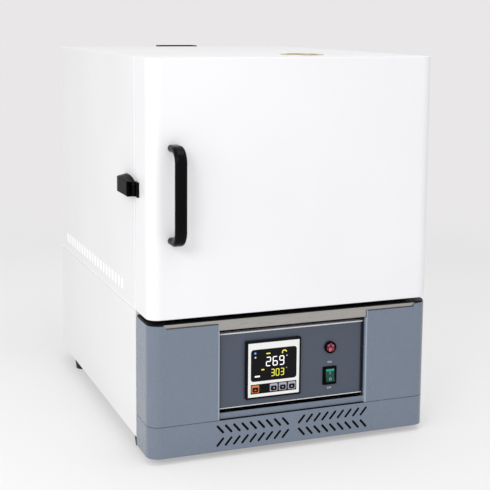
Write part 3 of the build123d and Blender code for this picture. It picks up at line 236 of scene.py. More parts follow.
def vacuumFormedFibre(name, body, shade, lump, depth):
    # Alumina-silica fibre, formed wet against a screen and dried: chalky, with a matted surface
    # of fibres about 2 mm long and a slight cream scorch
    material, tree, shader, place = startMaterial(name, IOR=1.5)
    mat = speckle(tree, place, size=2.0, detail=6, roughness=0.7)
    scorch = spread(tree, speckle(tree, place, size=70), 0, 1, lowIn=0.4, highIn=0.8)
    tone = blendColour(tree, scorch, body, shade)
    cover(tree, shader, blendColour(tree, spread(tree, mat, 0, 0.3), tone, shade),
          spread(tree, mat, 0.88, 1.0))
    dent(tree, shader, mat, depth)
    dent(tree, shader, speckle(tree, place, size=lump), 2 * depth)
    return material


def wovenTape(name):
    # Plain-woven ceramic fibre tape: a raised check of threads. Real threads lie 1.5 mm apart,
    # too fine for this size, so they are drawn 9.4 mm apart (a wave repeats each 0.314 of 30).
    material, tree, shader, place = startMaterial(name, IOR=1.5, Roughness=0.95)
    warp, weft = [addNode(tree, "ShaderNodeTexWave", {
        "Vector": place, "Scale": perMillimetre(30), "Distortion": 1.2,
        "Detail Scale": 3.0}, bands_direction=way).outputs["Fac"] for way in ("X", "Z")]
    weave = compute(tree, "MULTIPLY", warp, weft)
    cover(tree, shader, blendColour(tree, weave, "#B7AFA2", "#DFD9CC"))
    dent(tree, shader, weave, depth=0.4)
    return material


def oxidisedWire(name):
    # Iron-chromium-aluminium wire after firing: a dull grey-brown oxide skin, part metal still
    material, tree, shader, place = startMaterial(name, Metallic=0.55)
    skin = speckle(tree, place, size=3, detail=5, roughness=0.6)
    cover(tree, shader, blendColour(tree, spread(tree, skin, 0, 1), "#5A514B", "#7F776F"),
          spread(tree, skin, 0.5, 0.75))
    dent(tree, shader, skin, depth=0.05)
    return material


def firedCeramic(name, body, speck, grain):
    # Pressed and fired without glaze: matt, with grains of grog a few millimetres apart
    material, tree, shader, place = startMaterial(name, IOR=1.6)
    dots = spread(tree, cells(tree, place, grain)["Distance"], 1, 0, lowIn=0.1, highIn=0.3)
    cover(tree, shader, blendColour(tree, dots, body, speck),
          spread(tree, speckle(tree, place, size=5), 0.7, 0.9))
    dent(tree, shader, speckle(tree, place, size=0.9, detail=4), depth=0.05)
    return material


def extrudedAluminium(name):
    # Aluminium, extruded and clear-anodised: fine die lines along its length
    material, tree, shader, place = startMaterial(name, Metallic=1.0)
    along = addNode(tree, "ShaderNodeMapping", {
        "Vector": place, "Scale": (1, 0.02, 1)}).outputs["Vector"]
    lines = speckle(tree, along, size=0.8)
    cover(tree, shader, blendColour(tree, spread(tree, lines, 0, 1), "#B4B8BB", "#D3D6D7"),
          spread(tree, lines, 0.3, 0.45))
    dent(tree, shader, lines, depth=0.02)
    return material


def prismaticAcrylic(name):
    # Red acrylic with prisms moulded inside: patches about 6 mm across are painted pink, as
    # painted glints of the prisms, on dark red
    material, tree, shader, place = startMaterial(name, IOR=1.49, Roughness=0.08)
    prism = 6.2
    flash = addNode(tree, "ShaderNodeSeparateColor", {
        "Color": cells(tree, place, prism)["Color"]}).outputs["Green"]
    gap = cells(tree, place, prism, feature="DISTANCE_TO_EDGE")["Distance"]
    # painted glints: pink where a cell flashes, kept off the cell edges
    lit = compute(tree, "MULTIPLY", spread(tree, flash, 0, 1, lowIn=0.3, highIn=0.55),
                  spread(tree, gap, 0, 1, lowIn=0.05, highIn=0.14))
    cover(tree, shader, blendColour(tree, lit, "#1D040A", "#DB4C70"))
    dent(tree, shader, gap, depth=0.1)
    return material


def glowing(name, colour, strength):
    # Lit segments of a display: they show their own colour in any light, a little unevenly
    material, tree, shader, place = startMaterial(name, Roughness=0.4, Emission_Strength=strength)
    ripple = spread(tree, speckle(tree, place, size=1.2, detail=1), 0, 0.12)
    tone = blendColour(tree, ripple, colour, "#FFFFFF")
    cover(tree, shader, tone)
    tree.links.new(tone, shader.inputs["Emission Color"])
    return material


# Colour, its darker drift and roughness of each powder coat
paints = {
    "door": ("#F2F2F4", "#EFEFF1", 0.36),
    "casing": ("#F0F0F1", "#ECECED", 0.42),
    "slate": ("#727D8D", "#6E7989", 0.26),
    "panel": ("#444D5E", "#404959", 0.34),
}
# Painted highlight and painted shade on the rocker's green plastic, as spans in millimetres
rockerPaintedLight = [
    ((None, None, (120.6, 123.9)), "#18A086"),    # painted highlight along the top
    # painted shade along the top rim, above the highlight
    ((None, None, (123.9, 126.0)), "#062A23"),
    ((None, None, (100.0, 103.8)), "#061512"),    # painted shade at the foot and the sides
    (((58, 60.9), None, None), "#031F1A"),
    (((75.4, 79), None, None), "#010807"),
]
finish = {
    "white_enamel": powderCoat("whitePowderCoat", *paints["door"]),
    "side_enamel": powderCoat("whitePowderCoatSides", *paints["casing"]),
    "slate_enamel": powderCoat("slatePowderCoat", *paints["slate"]),
    "panel_enamel": powderCoat("panelPowderCoat", *paints["panel"]),
    "black_enamel": texturedCoat("blackPowderCoat", "#08090A", "#0E0F11",
                                 grain=1.2, gloss=0.4, shine=0.1),
    "galvanised_sheet": galvanisedSteel("galvanisedSteel"),
    "stainless_sheet": brushedStainless("brushedStainless", "#B9B7B3", "#9F9D99",
                                        lay=(0.015, 1, 1)),
    "plated_screw": zincPlated("brightZinc"),
    "black_rubber": mouldedRubber("neoprene"),
    "vacuum_formed_fibre": vacuumFormedFibre("vacuumFormedFibre", "#EFECE4", "#DCD3C0",
                                             lump=9, depth=0.18),
    "fibre_blanket": vacuumFormedFibre("needledFibreBlanket", "#ECEAE4", "#DCD8CE",
                                       lump=5, depth=0.5),
    "fibre_rope": wovenTape("wovenCeramicTape"),
    "resistance_alloy": oxidisedWire("oxidisedHeatingWire"),
    "fired_ceramic": firedCeramic("mulliteCeramic", "#E6DFCF", "#D3C8B2", grain=3),
    "cordierite_tile": firedCeramic("cordieriteTile", "#D2C3A6", "#A8957A", grain=2),
    "black_plastic": mouldedPlastic("blackNylon", "#070708", "#0B0B0C",
                                    grain=0.6, gloss=0.3, depth=0.01, shine=0.025),
    "instrument_window": mouldedPlastic("smokedAcrylic", "#121113", "#151416",
                                        grain=6, gloss=0.16, depth=0.002, shine=0.08),
    "key_plastic": mouldedPlastic("greyKeyTop", "#B4B5C2", "#A6A7B5", grain=0.7, gloss=0.4),
    "set_key_plastic": mouldedPlastic("orangeKeyTop", "#E4813A", "#D77431", grain=0.7, gloss=0.4),
    "lamp_lens": prismaticAcrylic("redPrismaticAcrylic"),
    # the rocker's marks are a painted highlight and painted shade
    "rocker_plastic": mouldedPlastic("greenPolycarbonate", "#094C40", "#06362C", grain=3,
                                     gloss=0.12, depth=0.004, shine=0.25, marks=rockerPaintedLight),
    "grey_plastic": mouldedPlastic("greyThermoset", "#B4B6B8", "#A9ABAD", grain=0.7, gloss=0.45),
    "extruded_aluminium": extrudedAluminium("anodisedAluminium"),
    "black_handle": texturedCoat("satinBlackCoat", "#050506", "#08080A",
                                 grain=0.7, gloss=0.16, shine=0.07),
}

# Highlights and shade painted along folded edges: bright on the folds and hems, dark on the inner
# faces and in the gaps.
# All in millimetres; each mark reaches past the sheet's own edge by "beyond".
edges = {
    "beyond": 1.0, "bright": "#FFFFFF",
    "louvres": 1.3, "lowerHem": 2.4, "frontHem": 5.0,    # upper casing, painted highlights
    "slotsHalf": 142.0, "skin": 0.2, "behind": 90.0,    # plinth, painted shade inside
    "wingGap": 2.0, "foldIn": 3.0, "foldBack": 6.0, "returnBack": 40.0,    # base fascia's wings, painted highlight and shade
    "notchDrop": 4.6, "notchNear": 1.3, "notchFar": 87.0,
    "panelSides": 4.2, "panelTop": 1.8, "panelFoot": 1.9,    # control panel, painted shade at the sides and highlights on the folds
    # latch, painted highlight at the rear end
    "latchTail": 9.0,
}
beyond = edges["beyond"]
casingLow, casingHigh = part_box("upper_casing")
louvreReach = (casingHigh[0] - casingLow[0]) / 2 / mm
casingFront, casingFoot = casingLow[1] / mm, casingLow[2] / mm
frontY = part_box("plinth")[0][1] / mm
panelBox = [[side / mm for side in corner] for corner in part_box("control_panel")]
panelFoot, panelEdge, panelTop = panelBox[0][2], panelBox[1][0], panelBox[1][2]
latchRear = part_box("latch_housing")[1][1] / mm
recessHalf = panelEdge + edges["wingGap"]    # to the wing's outer face
wingFold = (recessHalf - edges["foldIn"], recessHalf + beyond)
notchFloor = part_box("base_fascia")[1][2] / mm - edges["notchDrop"]
paintedEdgeLight = {
    # Painted highlights: white where the casing's sides reach out furthest (the louvres), along
    # its lower hem and along its front edge
    "upper_casing": powderCoat("whitePowderCoatCasing", *paints["casing"], [
        (((louvreReach - edges["louvres"], louvreReach + beyond), None, None), edges["bright"]),
        ((None, None, (casingFoot - beyond, casingFoot + edges["lowerHem"])), edges["bright"]),
        ((None, (casingFront - beyond, casingFront + edges["frontHem"]), None),
         edges["bright"])]),
    # Painted shade: behind its face the plinth is painted near black, so that the slots look dark
    "plinth": powderCoat("slatePowderCoatPlinth", *paints["slate"], [
        (((-beyond, edges["slotsHalf"]), (frontY + edges["skin"], frontY + edges["behind"]),
          None), "#050506")]),
    # Painted highlight on the wings' rounded folds at the recess, painted shade on the folds'
    # returns and along the floor of the notch
    "base_fascia": powderCoat("slatePowderCoatFascia", *paints["slate"], [
        ((wingFold, (frontY - beyond, frontY + edges["foldBack"]), None), "#96A1B1"),
        ((wingFold, (frontY + edges["foldBack"], frontY + edges["returnBack"]), None), "#3A404B"),
        (((recessHalf + edges["notchNear"], recessHalf + edges["notchFar"]), None,
          (notchFloor - beyond, notchFloor + beyond)), "#2A2E36")]),
    # Painted highlight along the latch's rear end
    "latch_housing": mouldedPlastic("satinBlackLatch", "#060607", "#0A0A0B", grain=0.7,
                                    gloss=0.3, depth=0.01, shine=0.015, marks=[
        ((None, (latchRear - edges["latchTail"], latchRear + beyond), None), "#3C3C3F")]),
    # Painted shade along the panel's sides by the wings, and painted highlights on its top and
    # bottom folds
    "control_panel": powderCoat("panelPowderCoatFolded", *paints["panel"], [
        (((panelEdge - edges["panelSides"], panelEdge + beyond), None, None), "#14161B"),
        ((None, None, (panelTop - edges["panelTop"], panelTop + beyond)), "#F0F2F6"),
        ((None, None, (panelFoot - beyond, panelFoot + edges["panelFoot"])), edges["bright"])]),
}


def instrumentCase(bezel):
    # Polycarbonate case: black all over, with a white film on the bezel's face
    material, tree, shader, place = startMaterial(
        "instrumentCase", IOR=1.58, Specular_IOR_Level=0.08)
    axes = addNode(tree, "ShaderNodeSeparateXYZ", {"Vector": place}).outputs
    film = compute(tree, "LESS_THAN", axes["Y"], bezel["face"] + bezel["skin"])
    for axis, middle in (("X", bezel["x"]), ("Z", bezel["z"])):
        within = compute(tree, "COMPARE", axes[axis], middle, bezel["film"])
        film = compute(tree, "MULTIPLY", film, within)
    grit = speckle(tree, place, size=0.7, detail=2)
    black = blendColour(tree, spread(tree, grit, 0, 1), "#08080A", "#0D0D0F")
    cover(tree, shader, blendColour(tree, film, black, "#EEEEEC"), spread(tree, grit, 0.34, 0.44))
    dent(tree, shader, grit, depth=0.01)
    return material


lowCase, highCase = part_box("controller_case")
bezelBox = {
    "x": (lowCase[0] + highCase[0]) / 2,
    "z": (lowCase[2] + highCase[2]) / 2,
    "face": lowCase[1], "skin": 0.1 * mm,
    "film": 44.6 * mm,    # half the white film's width and height
}
finish["instrument_plastic"] = instrumentCase(bezelBox)

for entry in frame["record"]["subparts"]:
    node = nodes[entry["node"]]
    node.data.materials.clear()
    node.data.materials.append(paintedEdgeLight.get(entry["node"], finish[entry["material_slot"]]))
# heat from the exhaust leaves the collar straw-coloured
collarSlots = nodes["exhaust_collar"].data.materials
collarSlots[0] = brushedStainless("heatTintedStainless", "#E4D2B8", "#CDB795", lay=(1, 1, 1))
print("materials on the CAD nodes")


def putIn(name, data):
    thing = bpy.data.objects.new(name, data)
    bpy.context.collection.objects.link(thing)
    return thing


def makePiece(name, verts, faces, body, material, smooth=False, replaced=()):
    mesh = bpy.data.meshes.new(name)
    mesh.from_pydata(verts, [], faces)
    mesh.update()
    piece = putIn(name, mesh)
    piece.data.materials.append(material)
    form = bmesh.new()
    form.from_mesh(mesh)
    bmesh.ops.recalc_face_normals(form, faces=form.faces)
    for face in form.faces:
        face.smooth = smooth
    form.to_mesh(mesh)
    form.free()
    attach(piece, body)
    if replaced:
        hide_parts(*replaced)
    return piece


def plateFromOutline(outline, x, y, z, thickness, verts, faces):
    # upright plate seen from the front: its outline runs round in (across, up). The outline and
    # the thickness are in millimetres, and the place is in metres.
    start = len(verts)
    for depth in (y - thickness * mm, y):
        verts.extend((x + a * mm, depth, z + b * mm) for a, b in outline)
    count = len(outline)
    faces.append(list(range(start, start + count)))
    faces.append(list(range(start + 2 * count - 1, start + count - 1, -1)))
    for i in range(count):
        j = (i + 1) % count
        faces.append([start + i, start + j, start + count + j, start + count + i])


def roundedOutline(width, height, radius, steps=5):
    points = []
    for cx, cz, turn in ((1, 1, 0), (-1, 1, 90), (-1, -1, 180), (1, -1, 270)):
        for k in range(steps + 1):
            angle = radians(turn + 90 * k / steps)
            points.append((cx * (width / 2 - radius) + radius * cos(angle),
                           cz * (height / 2 - radius) + radius * sin(angle)))
    return points


# Display: two rows of seven-segment figures with a few marks beside them. Millimetres, from
# the middle of the lit part.
display = {
    "shift": -1.6, "thickness": 0.12, "glow": 0.5,
    "lean": 0.01, "gap": 0.1,    # shares of the height and of the stroke
    "upper": {"text": "269", "x": -7.8, "z": 4.9, "width": 7.2, "height": 14.2,
              "stroke": 1.5, "pitch": 11.6},
    "lower": {"text": "303", "x": -0.2, "z": -14.2, "width": 5.2, "height": 10.9,
              "stroke": 1.2, "pitch": 8.3},
    # across, up, width, height and corner radius
    "whiteBars": [(-27, -18.2, 8.8, 2.4, 0.4)],
    "yellowBars": [(-8.2, 18.4, 7.0, 1.8, 0.4), (-17.5, -7.7, 5.0, 2.0, 0.6)],
    "arc": {"x": 19.9, "z": 17.9, "outer": 4.3, "inner": 2.7, "sweep": (5, 206, 10)},
    "lights": {    # colour, across, up and width
        "statusLightBlue": ("#2F8FE0", -30.8, 20.4, 3.4),
        "statusLightGrey": ("#B9B9B9", -30.5, 13.5, 2.8),
        "degreeLight": ("#A0A0A0", 24.4, 12.0, 2.2),
        "degreeLightLow": ("#7C7616", 23.9, -8.2, 2.2),
    },
    "lightShape": (0.85, 0.35), "lightGlow": 0.6,    # height and corner, as shares of the width
}
segmentPlaces = {    # middle across, middle up, upright or not, in shares of the half figure
    "a": (0, 1, False), "b": (1, 0.5, True), "c": (1, -0.5, True), "d": (0, -1, False),
    "e": (-1, -0.5, True), "f": (-1, 0.5, True), "g": (0, 0, False),
}
segmentsOf = {"0": "abcdef", "2": "abged", "3": "abgcd", "6": "acdefg", "9": "abcdfg"}
windowLow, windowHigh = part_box("controller_window")
displayX = (windowLow[0] + windowHigh[0]) / 2 + display["shift"] * mm
displayZ = (windowLow[2] + windowHigh[2]) / 2


def onDisplay(outline, x, z, verts, faces):
    plateFromOutline(outline, displayX + x * mm, windowLow[1], displayZ + z * mm,
                     display["thickness"], verts, faces)


def figures(row, verts, faces):
    tip = row["stroke"] / 2    # a segment ends in a point
    for i, sign in enumerate(row["text"]):
        for name in segmentsOf[sign]:
            across, up, upright = segmentPlaces[name]
            half = row["height"] / 4 if upright else row["width"] / 2
            half -= row["stroke"] * display["gap"]
            cx, cz = i * row["pitch"] + across * row["width"] / 2, up * row["height"] / 2
            segment = [(-half, 0), (tip - half, tip), (half - tip, tip),
                       (half, 0), (half - tip, -tip), (tip - half, -tip)]
            if upright:
                segment = [(-b, a) for a, b in segment]
            onDisplay([(cx + a + (cz + b) * display["lean"], cz + b) for a, b in segment],
                      row["x"], row["z"], verts, faces)


def bars(places, verts, faces):
    for x, z, width, height, radius in places:
        onDisplay(roundedOutline(width, height, radius), x, z, verts, faces)


verts, faces = [], []
figures(display["upper"], verts, faces)
bars(display["whiteBars"], verts, faces)
makePiece("displayUpperRow", verts, faces, "cabinet",
          glowing("litWhite", "#F0F0F0", display["glow"]))
verts, faces = [], []
figures(display["lower"], verts, faces)
bars(display["yellowBars"], verts, faces)
arc = display["arc"]
sweep = range(*arc["sweep"])
onDisplay([(r * cos(radians(a)), r * sin(radians(a)))
           for r, turns in ((arc["outer"], reversed(sweep)), (arc["inner"], sweep))
           for a in turns], arc["x"], arc["z"], verts, faces)
makePiece("displayLowerRow", verts, faces, "cabinet",
          glowing("litYellow", "#DCD41E", display["glow"]))
for name, (colour, x, z, size) in display["lights"].items():
    verts, faces = [], []
    tall, corner = display["lightShape"]
    bars([(x, z, size, size * tall, size * corner)], verts, faces)
    makePiece(name, verts, faces, "cabinet",
              glowing(name + "Glow", colour, display["lightGlow"]))
print("display made")

# Key faces: a dark sunk plate with a mark on each key, in millimetres from its middle
keyFaces = {
    "plate": (10.4, 8.2, 2.2), "drop": 1.2, "thickness": 0.12,    # width, height, corner
    "marks": {
        "key_set": [(-2.2, -0.6), (-0.8, -0.6), (-0.8, 0.6), (0.8, 0.6), (0.8, -0.6),
                    (2.2, -0.6), (2.2, -1.3), (-2.2, -1.3)],
        "key_shift": [(1.6, 1.6), (-1.8, 0), (1.6, -1.6)],
        "key_down": [(-1.9, 1.1), (0, -1.7), (1.9, 1.1)],
        "key_up": [(-1.9, -1.1), (1.9, -1.1), (0, 1.7)],
    },
}
darkFilm = mouldedPlastic("darkKeyFilm", "#0D0D0F", "#121214",
                          grain=0.6, gloss=0.35, depth=0.01, shine=0.1)
for name, mark in keyFaces["marks"].items():
    low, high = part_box(name)
    x, y, z = (low[0] + high[0]) / 2, low[1], (low[2] + high[2]) / 2 - keyFaces["drop"] * mm
    verts, faces = [], []
    plateFromOutline(roundedOutline(*keyFaces["plate"]), x, y, z, keyFaces["thickness"],
                     verts, faces)
    makePiece(name + "_film", verts, faces, name, darkFilm)
    verts, faces = [], []
    plateFromOutline(mark, x, y - keyFaces["thickness"] * mm, z, keyFaces["thickness"] / 2,
                     verts, faces)
    makePiece(name + "_mark", verts, faces, name,
              finish["set_key_plastic" if name == "key_set" else "key_plastic"])
print("keys marked")

# Pilot lens: a crowned lens cut into facets. Each ring has its share of the radius and how far
# it lies behind the crown, in millimetres.
lens = {"facets": 10, "rings": [(1.0, 2.6), (0.86, 1.2), (0.5, 0.25)]}
lensLow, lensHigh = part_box("pilot_lens")
lensX, lensZ = (lensLow[0] + lensHigh[0]) / 2, (lensLow[2] + lensHigh[2]) / 2
lensRadius = (lensHigh[0] - lensLow[0]) / 2
rings = [(1.0, lensHigh[1])] + [(share, lensLow[1] + back * mm) for share, back in lens["rings"]]
count = lens["facets"]
verts = [(lensX, lensHigh[1], lensZ)]
for k, (share, y) in enumerate(rings):
    for i in range(count):
        angle = 2 * pi * (i + 0.5 * (k % 2)) / count    # every other ring is half a facet on
        verts.append((lensX + share * lensRadius * cos(angle), y,
                      lensZ + share * lensRadius * sin(angle)))
verts.append((lensX, lensLow[1], lensZ))
faces = []
lastRing = 1 + (len(rings) - 1) * count
for i in range(count):
    j = (i + 1) % count
    faces.append([0, 1 + j, 1 + i])
    faces.append([len(verts) - 1, lastRing + i, lastRing + j])
    for k in range(len(rings) - 1):
        a, b = 1 + k * count, 1 + (k + 1) * count
        if k % 2 == 0:
            faces.append([a + i, a + j, b + i])
            faces.append([b + i, a + j, b + j])
        else:
            faces.append([a + i, b + j, b + i])
            faces.append([a + i, a + j, b + j])
makePiece("pilotLensFacets", verts, faces, "cabinet", finish["lamp_lens"],
          replaced=("pilot_lens",))
print("lens cut")


# Words over and under the switch, in millimetres from its housing
legend = {"size": 4.8, "over": 7.0, "under": 5.8, "lift": 0.05, "half": 0.04}


def words(name, text, x, y, z, size, body, material):
    # flat lettering that faces the front, as screen-printed ink
    curve = bpy.data.curves.new(name + "Curve", "FONT")
    curve.body = text
    curve.size = size
    curve.align_x = "CENTER"
    curve.align_y = "CENTER"
    curve.extrude = legend["half"] * mm
    lettering = putIn(name + "Curve", curve)
    bpy.context.view_layer.update()
    mesh = bpy.data.meshes.new_from_object(lettering)
    bpy.data.objects.remove(lettering)
    upright = Euler((radians(90), 0, 0)).to_matrix().to_4x4()
    mesh.transform(Matrix.Translation((x, y, z)) @ upright)
    mesh.materials.clear()
    mesh.materials.append(material)
    piece = putIn(name, mesh)
    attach(piece, body)
    return piece


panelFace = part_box("control_panel")[0][1]
switchLow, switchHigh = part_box("switch_housing")
ink = mouldedPlastic("whiteInk", "#E2E4E9", "#D2D5DC", grain=1.5, gloss=0.5, depth=0.004)
for name, text, z in (("onWord", "ON", switchHigh[2] + legend["over"] * mm),
                      ("offWord", "OFF", switchLow[2] - legend["under"] * mm)):
    words(name, text, (switchLow[0] + switchHigh[0]) / 2, panelFace - legend["lift"] * mm, z,
          legend["size"] * mm, "cabinet", ink)

# On and off marks, printed on the two halves of the rocker. Millimetres; the crest between the
# halves is given by its place, the upper half stands upright and the lower one leans out.
rockerMark = {
    "crestY": -300.48, "crestZ": 113.64, "tilt": 18, "ink": 0.06,
    "bar": (1.1, 4.4, 0.3), "barUp": 4.0,    # width, height, corner
    "ringOuter": 2.3, "ringInner": 1.3, "ringDown": 6.3, "ringSides": 20,
}
rockerLow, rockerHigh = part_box("rocker")
rockerX = (rockerLow[0] + rockerHigh[0]) / 2
crestY, crestZ = rockerMark["crestY"] * mm, rockerMark["crestZ"] * mm


def lowerHalfPoint(across, down, lift):
    # down the lower half's face from the crest, and lifted off it; in millimetres
    lean = radians(rockerMark["tilt"])
    return (rockerX + across * mm,
            crestY - (down * sin(lean) + lift * cos(lean)) * mm,
            crestZ - (down * cos(lean) - lift * sin(lean)) * mm)


verts, faces = [], []
plateFromOutline(roundedOutline(*rockerMark["bar"]), rockerX, crestY,
                 crestZ + rockerMark["barUp"] * mm, rockerMark["ink"], verts, faces)
start = len(verts)
count = rockerMark["ringSides"]
outer, inner = rockerMark["ringOuter"], rockerMark["ringInner"]
for radius, lift in ((outer, 0), (outer, rockerMark["ink"]), (inner, rockerMark["ink"]),
                     (inner, 0)):
    for i in range(count):
        angle = 2 * pi * i / count
        verts.append(lowerHalfPoint(radius * cos(angle),
                                    rockerMark["ringDown"] + radius * sin(angle), lift))
for k in range(4):
    for i in range(count):
        j = (i + 1) % count
        a, b = start + k * count, start + (k + 1) % 4 * count
        faces.append([a + i, a + j, b + j, b + i])
makePiece("rockerMarks", verts, faces, "rocker",
          mouldedPlastic("rockerInk", "#8FA5A3", "#7F9694", grain=1.5, gloss=0.4, depth=0.004))
print("lettering done")


def slotShadeFoam(name):
    # Open-cell polyurethane foam, black: matt cells about 1.6 mm across that swallow the light
    material, tree, shader, place = startMaterial(name, Roughness=0.95, Specular_IOR_Level=0.1)
    pores = cells(tree, place, 1.6)["Distance"]
    cover(tree, shader, blendColour(tree, spread(tree, pores, 0, 1, lowIn=0.1, highIn=0.5),
                                    "#040404", "#0D0D0E"))
    dent(tree, shader, pores, depth=0.5)
    return material


# Painted shade: a pad of black foam pressed against the back of the slots, standing on the
# plinth's lip, stands in for the shade inside the plinth. Millimetres; the front swells a little
# into the slots.
slotShadePad = {
    "half": 139.0, "front": 1.6, "thickness": 7.0, "foot": 1.6, "head": 1.2,
    "columns": 56, "rows": 10, "swell": 0.9, "swells": 5,
}
plinthLow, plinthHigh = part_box("plinth")
columns, rows = slotShadePad["columns"], slotShadePad["rows"]
low = plinthLow[2] + slotShadePad["foot"] * mm
high = plinthHigh[2] - slotShadePad["head"] * mm
verts, faces = [], []
for behind in (False, True):
    for i in range(columns + 1):
        for k in range(rows + 1):
            bulge = i % 2 * sin(pi * k / rows * slotShadePad["swells"]) ** 2 * slotShadePad["swell"]
            back = slotShadePad["front"] + (slotShadePad["thickness"] if behind else bulge)
            verts.append(((2 * i / columns - 1) * slotShadePad["half"] * mm,
                          plinthLow[1] + back * mm, low + (high - low) * k / rows))
sheetSize = (columns + 1) * (rows + 1)
for layer in (0, 1):
    for i in range(columns):
        for k in range(rows):
            a = layer * sheetSize + i * (rows + 1) + k
            faces.append([a, a + 1, a + rows + 2, a + rows + 1])
rim = ([i * (rows + 1) for i in range(columns + 1)]
       + [columns * (rows + 1) + k for k in range(1, rows + 1)]
       + [i * (rows + 1) + rows for i in range(columns - 1, -1, -1)]
       + list(range(rows - 1, 0, -1)))
for a, b in zip(rim, rim[1:] + rim[:1]):
    faces.append([a, b, b + sheetSize, a + sheetSize])
makePiece("slotShadeFoamPad", verts, faces, "cabinet", slotShadeFoam("blackFoamSlotShade"))
print("filter fitted")


def tube(points, radius, sides, verts, faces):
    # a wire through points: rings of vertices joined side by side, with closed ends
    start = len(verts)
    up = Vector((0.3, 0.2, 0.93))    # any way that no wire sets out in
    for i, point in enumerate(points):
        ahead = points[min(i + 1, len(points) - 1)] - points[max(i - 1, 0)]
        ahead.normalize()
        side = ahead.cross(up).normalized()
        up = side.cross(ahead).normalized()
        for k in range(sides):
            angle = 2 * pi * k / sides
            verts.append(point + radius * (cos(angle) * side + sin(angle) * up))
    for i in range(len(points) - 1):
        for k in range(sides):
            a, b = start + i * sides + k, start + i * sides + (k + 1) % sides
            faces.append([a, b, b + sides, a + sides])
    end = start + len(points) * sides
    faces.append(list(range(start, start + sides)))
    faces.append(list(range(end - 1, end - sides - 1, -1)))


# Heating coils: on each side one wire, wound through four grooves and led out at the rear.
# Millimetres; the first and the last half turn open up from the middle.
coil = {
    "radius": 5.0, "wire": 0.9, "turnPitch": 5.6, "runs": 4, "pitch": 42.0, "length": 325.0,
    "stepsPerTurn": 12, "sides": 6, "openingSteps": 6, "leadIn": 2.0, "leadOut": 3.0,
}
coilLow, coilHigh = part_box("heating_coils")
radius, wire = coil["radius"] * mm, coil["wire"] * mm
front, rear, tail = coilLow[1], coilLow[1] + coil["length"] * mm, coilHigh[1]
middleZ = (coilLow[2] + coilHigh[2]) / 2
turns = round((rear - front - 2 * radius) / (coil["turnPitch"] * mm))
steps = turns * coil["stepsPerTurn"]
verts, faces = [], []
for side in (-1, 1):
    across = side * (coilHigh[0] - radius)
    path = []
    for run in range(coil["runs"]):
        level = middleZ + (run - (coil["runs"] - 1) / 2) * coil["pitch"] * mm
        ends = (front + radius, rear - radius)
        first, last = ends if run % 2 == 1 else ends[::-1]
        if run == 0:
            path.append(Vector((across, tail, level)))
            path.append(Vector((across, first + coil["leadIn"] * mm, level)))
        for k in range(steps + 1):
            angle = 2 * pi * k / coil["stepsPerTurn"] + pi
            opened = min(1.0, k / coil["openingSteps"], (steps - k) / coil["openingSteps"])
            reach = opened * (radius - wire)
            path.append(Vector((across + reach * cos(angle),
                                first + (last - first) * k / steps,
                                level + reach * sin(angle))))
    path.append(Vector((across, rear - radius + coil["leadOut"] * mm, level)))
    path.append(Vector((across, tail, level)))
    tube(path, wire, coil["sides"], verts, faces)
makePiece("woundCoils", verts, faces, "cabinet", finish["resistance_alloy"],
          smooth=True, replaced=("heating_coils",))
print("coils wound")


# Hinge screws: low domed heads with a crossed recess. Millimetres, and shares of the head.
hinges = {
    "head": 3.4, "rise": 0.9, "sides": 16,
    "dome": [(1.0, 0.0), (1.0, 0.35), (0.82, 0.8), (0.5, 1.0)],    # out, up
    "arm": 0.44, "web": 0.14, "recessRim": 0.92, "recessFloor": 0.1,
    "leafThickness": 3.0, "leafHeight": 64.0, "columns": (9, 28), "rows": (-20, 20),
}


def screwHeads(name, places, outward, body):
    # outward is the way a head faces
    verts, faces = [], []
    spin = Vector((0, 0, 1)).rotation_difference(Vector(outward)).to_matrix()
    count = hinges["sides"]
    wide, rise = hinges["head"] * mm, hinges["rise"] * mm

    def addPoint(place, share, angle, up):
        verts.append(Vector(place) + spin @ Vector((
            share * wide * cos(angle), share * wide * sin(angle), up * rise)))

    for place in places:
        start = len(verts)
        for share, up in hinges["dome"]:
            for i in range(count):
                addPoint(place, share, 2 * pi * i / count, up)
        for k in range(len(hinges["dome"]) - 1):
            for i in range(count):
                j = (i + 1) % count
                a, b = start + k * count, start + (k + 1) * count
                faces.append([a + i, a + j, b + j, b + i])
        # the recess is a pit with four arms: every fourth point of its rim reaches out
        rim = len(verts)
        for i in range(count):
            addPoint(place, hinges["arm"] if i % 4 == 0 else hinges["web"],
                     2 * pi * i / count, hinges["recessRim"])
        pit = len(verts)
        addPoint(place, 0, 0, hinges["recessFloor"])
        last = start + (len(hinges["dome"]) - 1) * count
        for i in range(count):
            j = (i + 1) % count
            faces.append([last + i, last + j, rim + j, rim + i])
            faces.append([rim + i, rim + j, pit])
        faces.append([start + i for i in range(count)][::-1])
    return makePiece(name, verts, faces, body, finish["plated_screw"])


leafLow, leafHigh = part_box("door_hinge_leaves")
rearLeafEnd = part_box("cabinet_hinge_leaves")[1][1]
leafFace = leafLow[0] + hinges["leafThickness"] * mm
halfLeaf = hinges["leafHeight"] / 2 * mm
for name, body, end, way in (("doorHingeScrews", "door", leafLow[1], 1),
                             ("cabinetHingeScrews", "cabinet", rearLeafEnd, -1)):
    spots = [(leafFace, end + way * column * mm, level + row * mm)
             for level in (leafLow[2] + halfLeaf, leafHigh[2] - halfLeaf)
             for row in hinges["rows"] for column in hinges["columns"]]
    screwHeads(name, spots, (1, 0, 0), body)
print("hinges screwed on")


# Studio: a pale floor that runs into the backdrop, lamps and fill light. Metres.
stage = {
    "backdrop": "#E9E7E8", "nearFloor": "#F5F4F4", "fill": "#F5F5F6", "fillStrength": 0.76,
    "floor": "#F4F3F2", "floorRoughness": 0.9, "floorShine": 0.1,
    "ownLight": 0.42,    # share of the floor's brightness that no shadow takes
    "floorSize": 60.0, "fadeFrom": 0.55, "fadeTo": 2.6,    # metres from the object's middle
    "aim": (0, 0, 0.32),    # where the lamps point
}


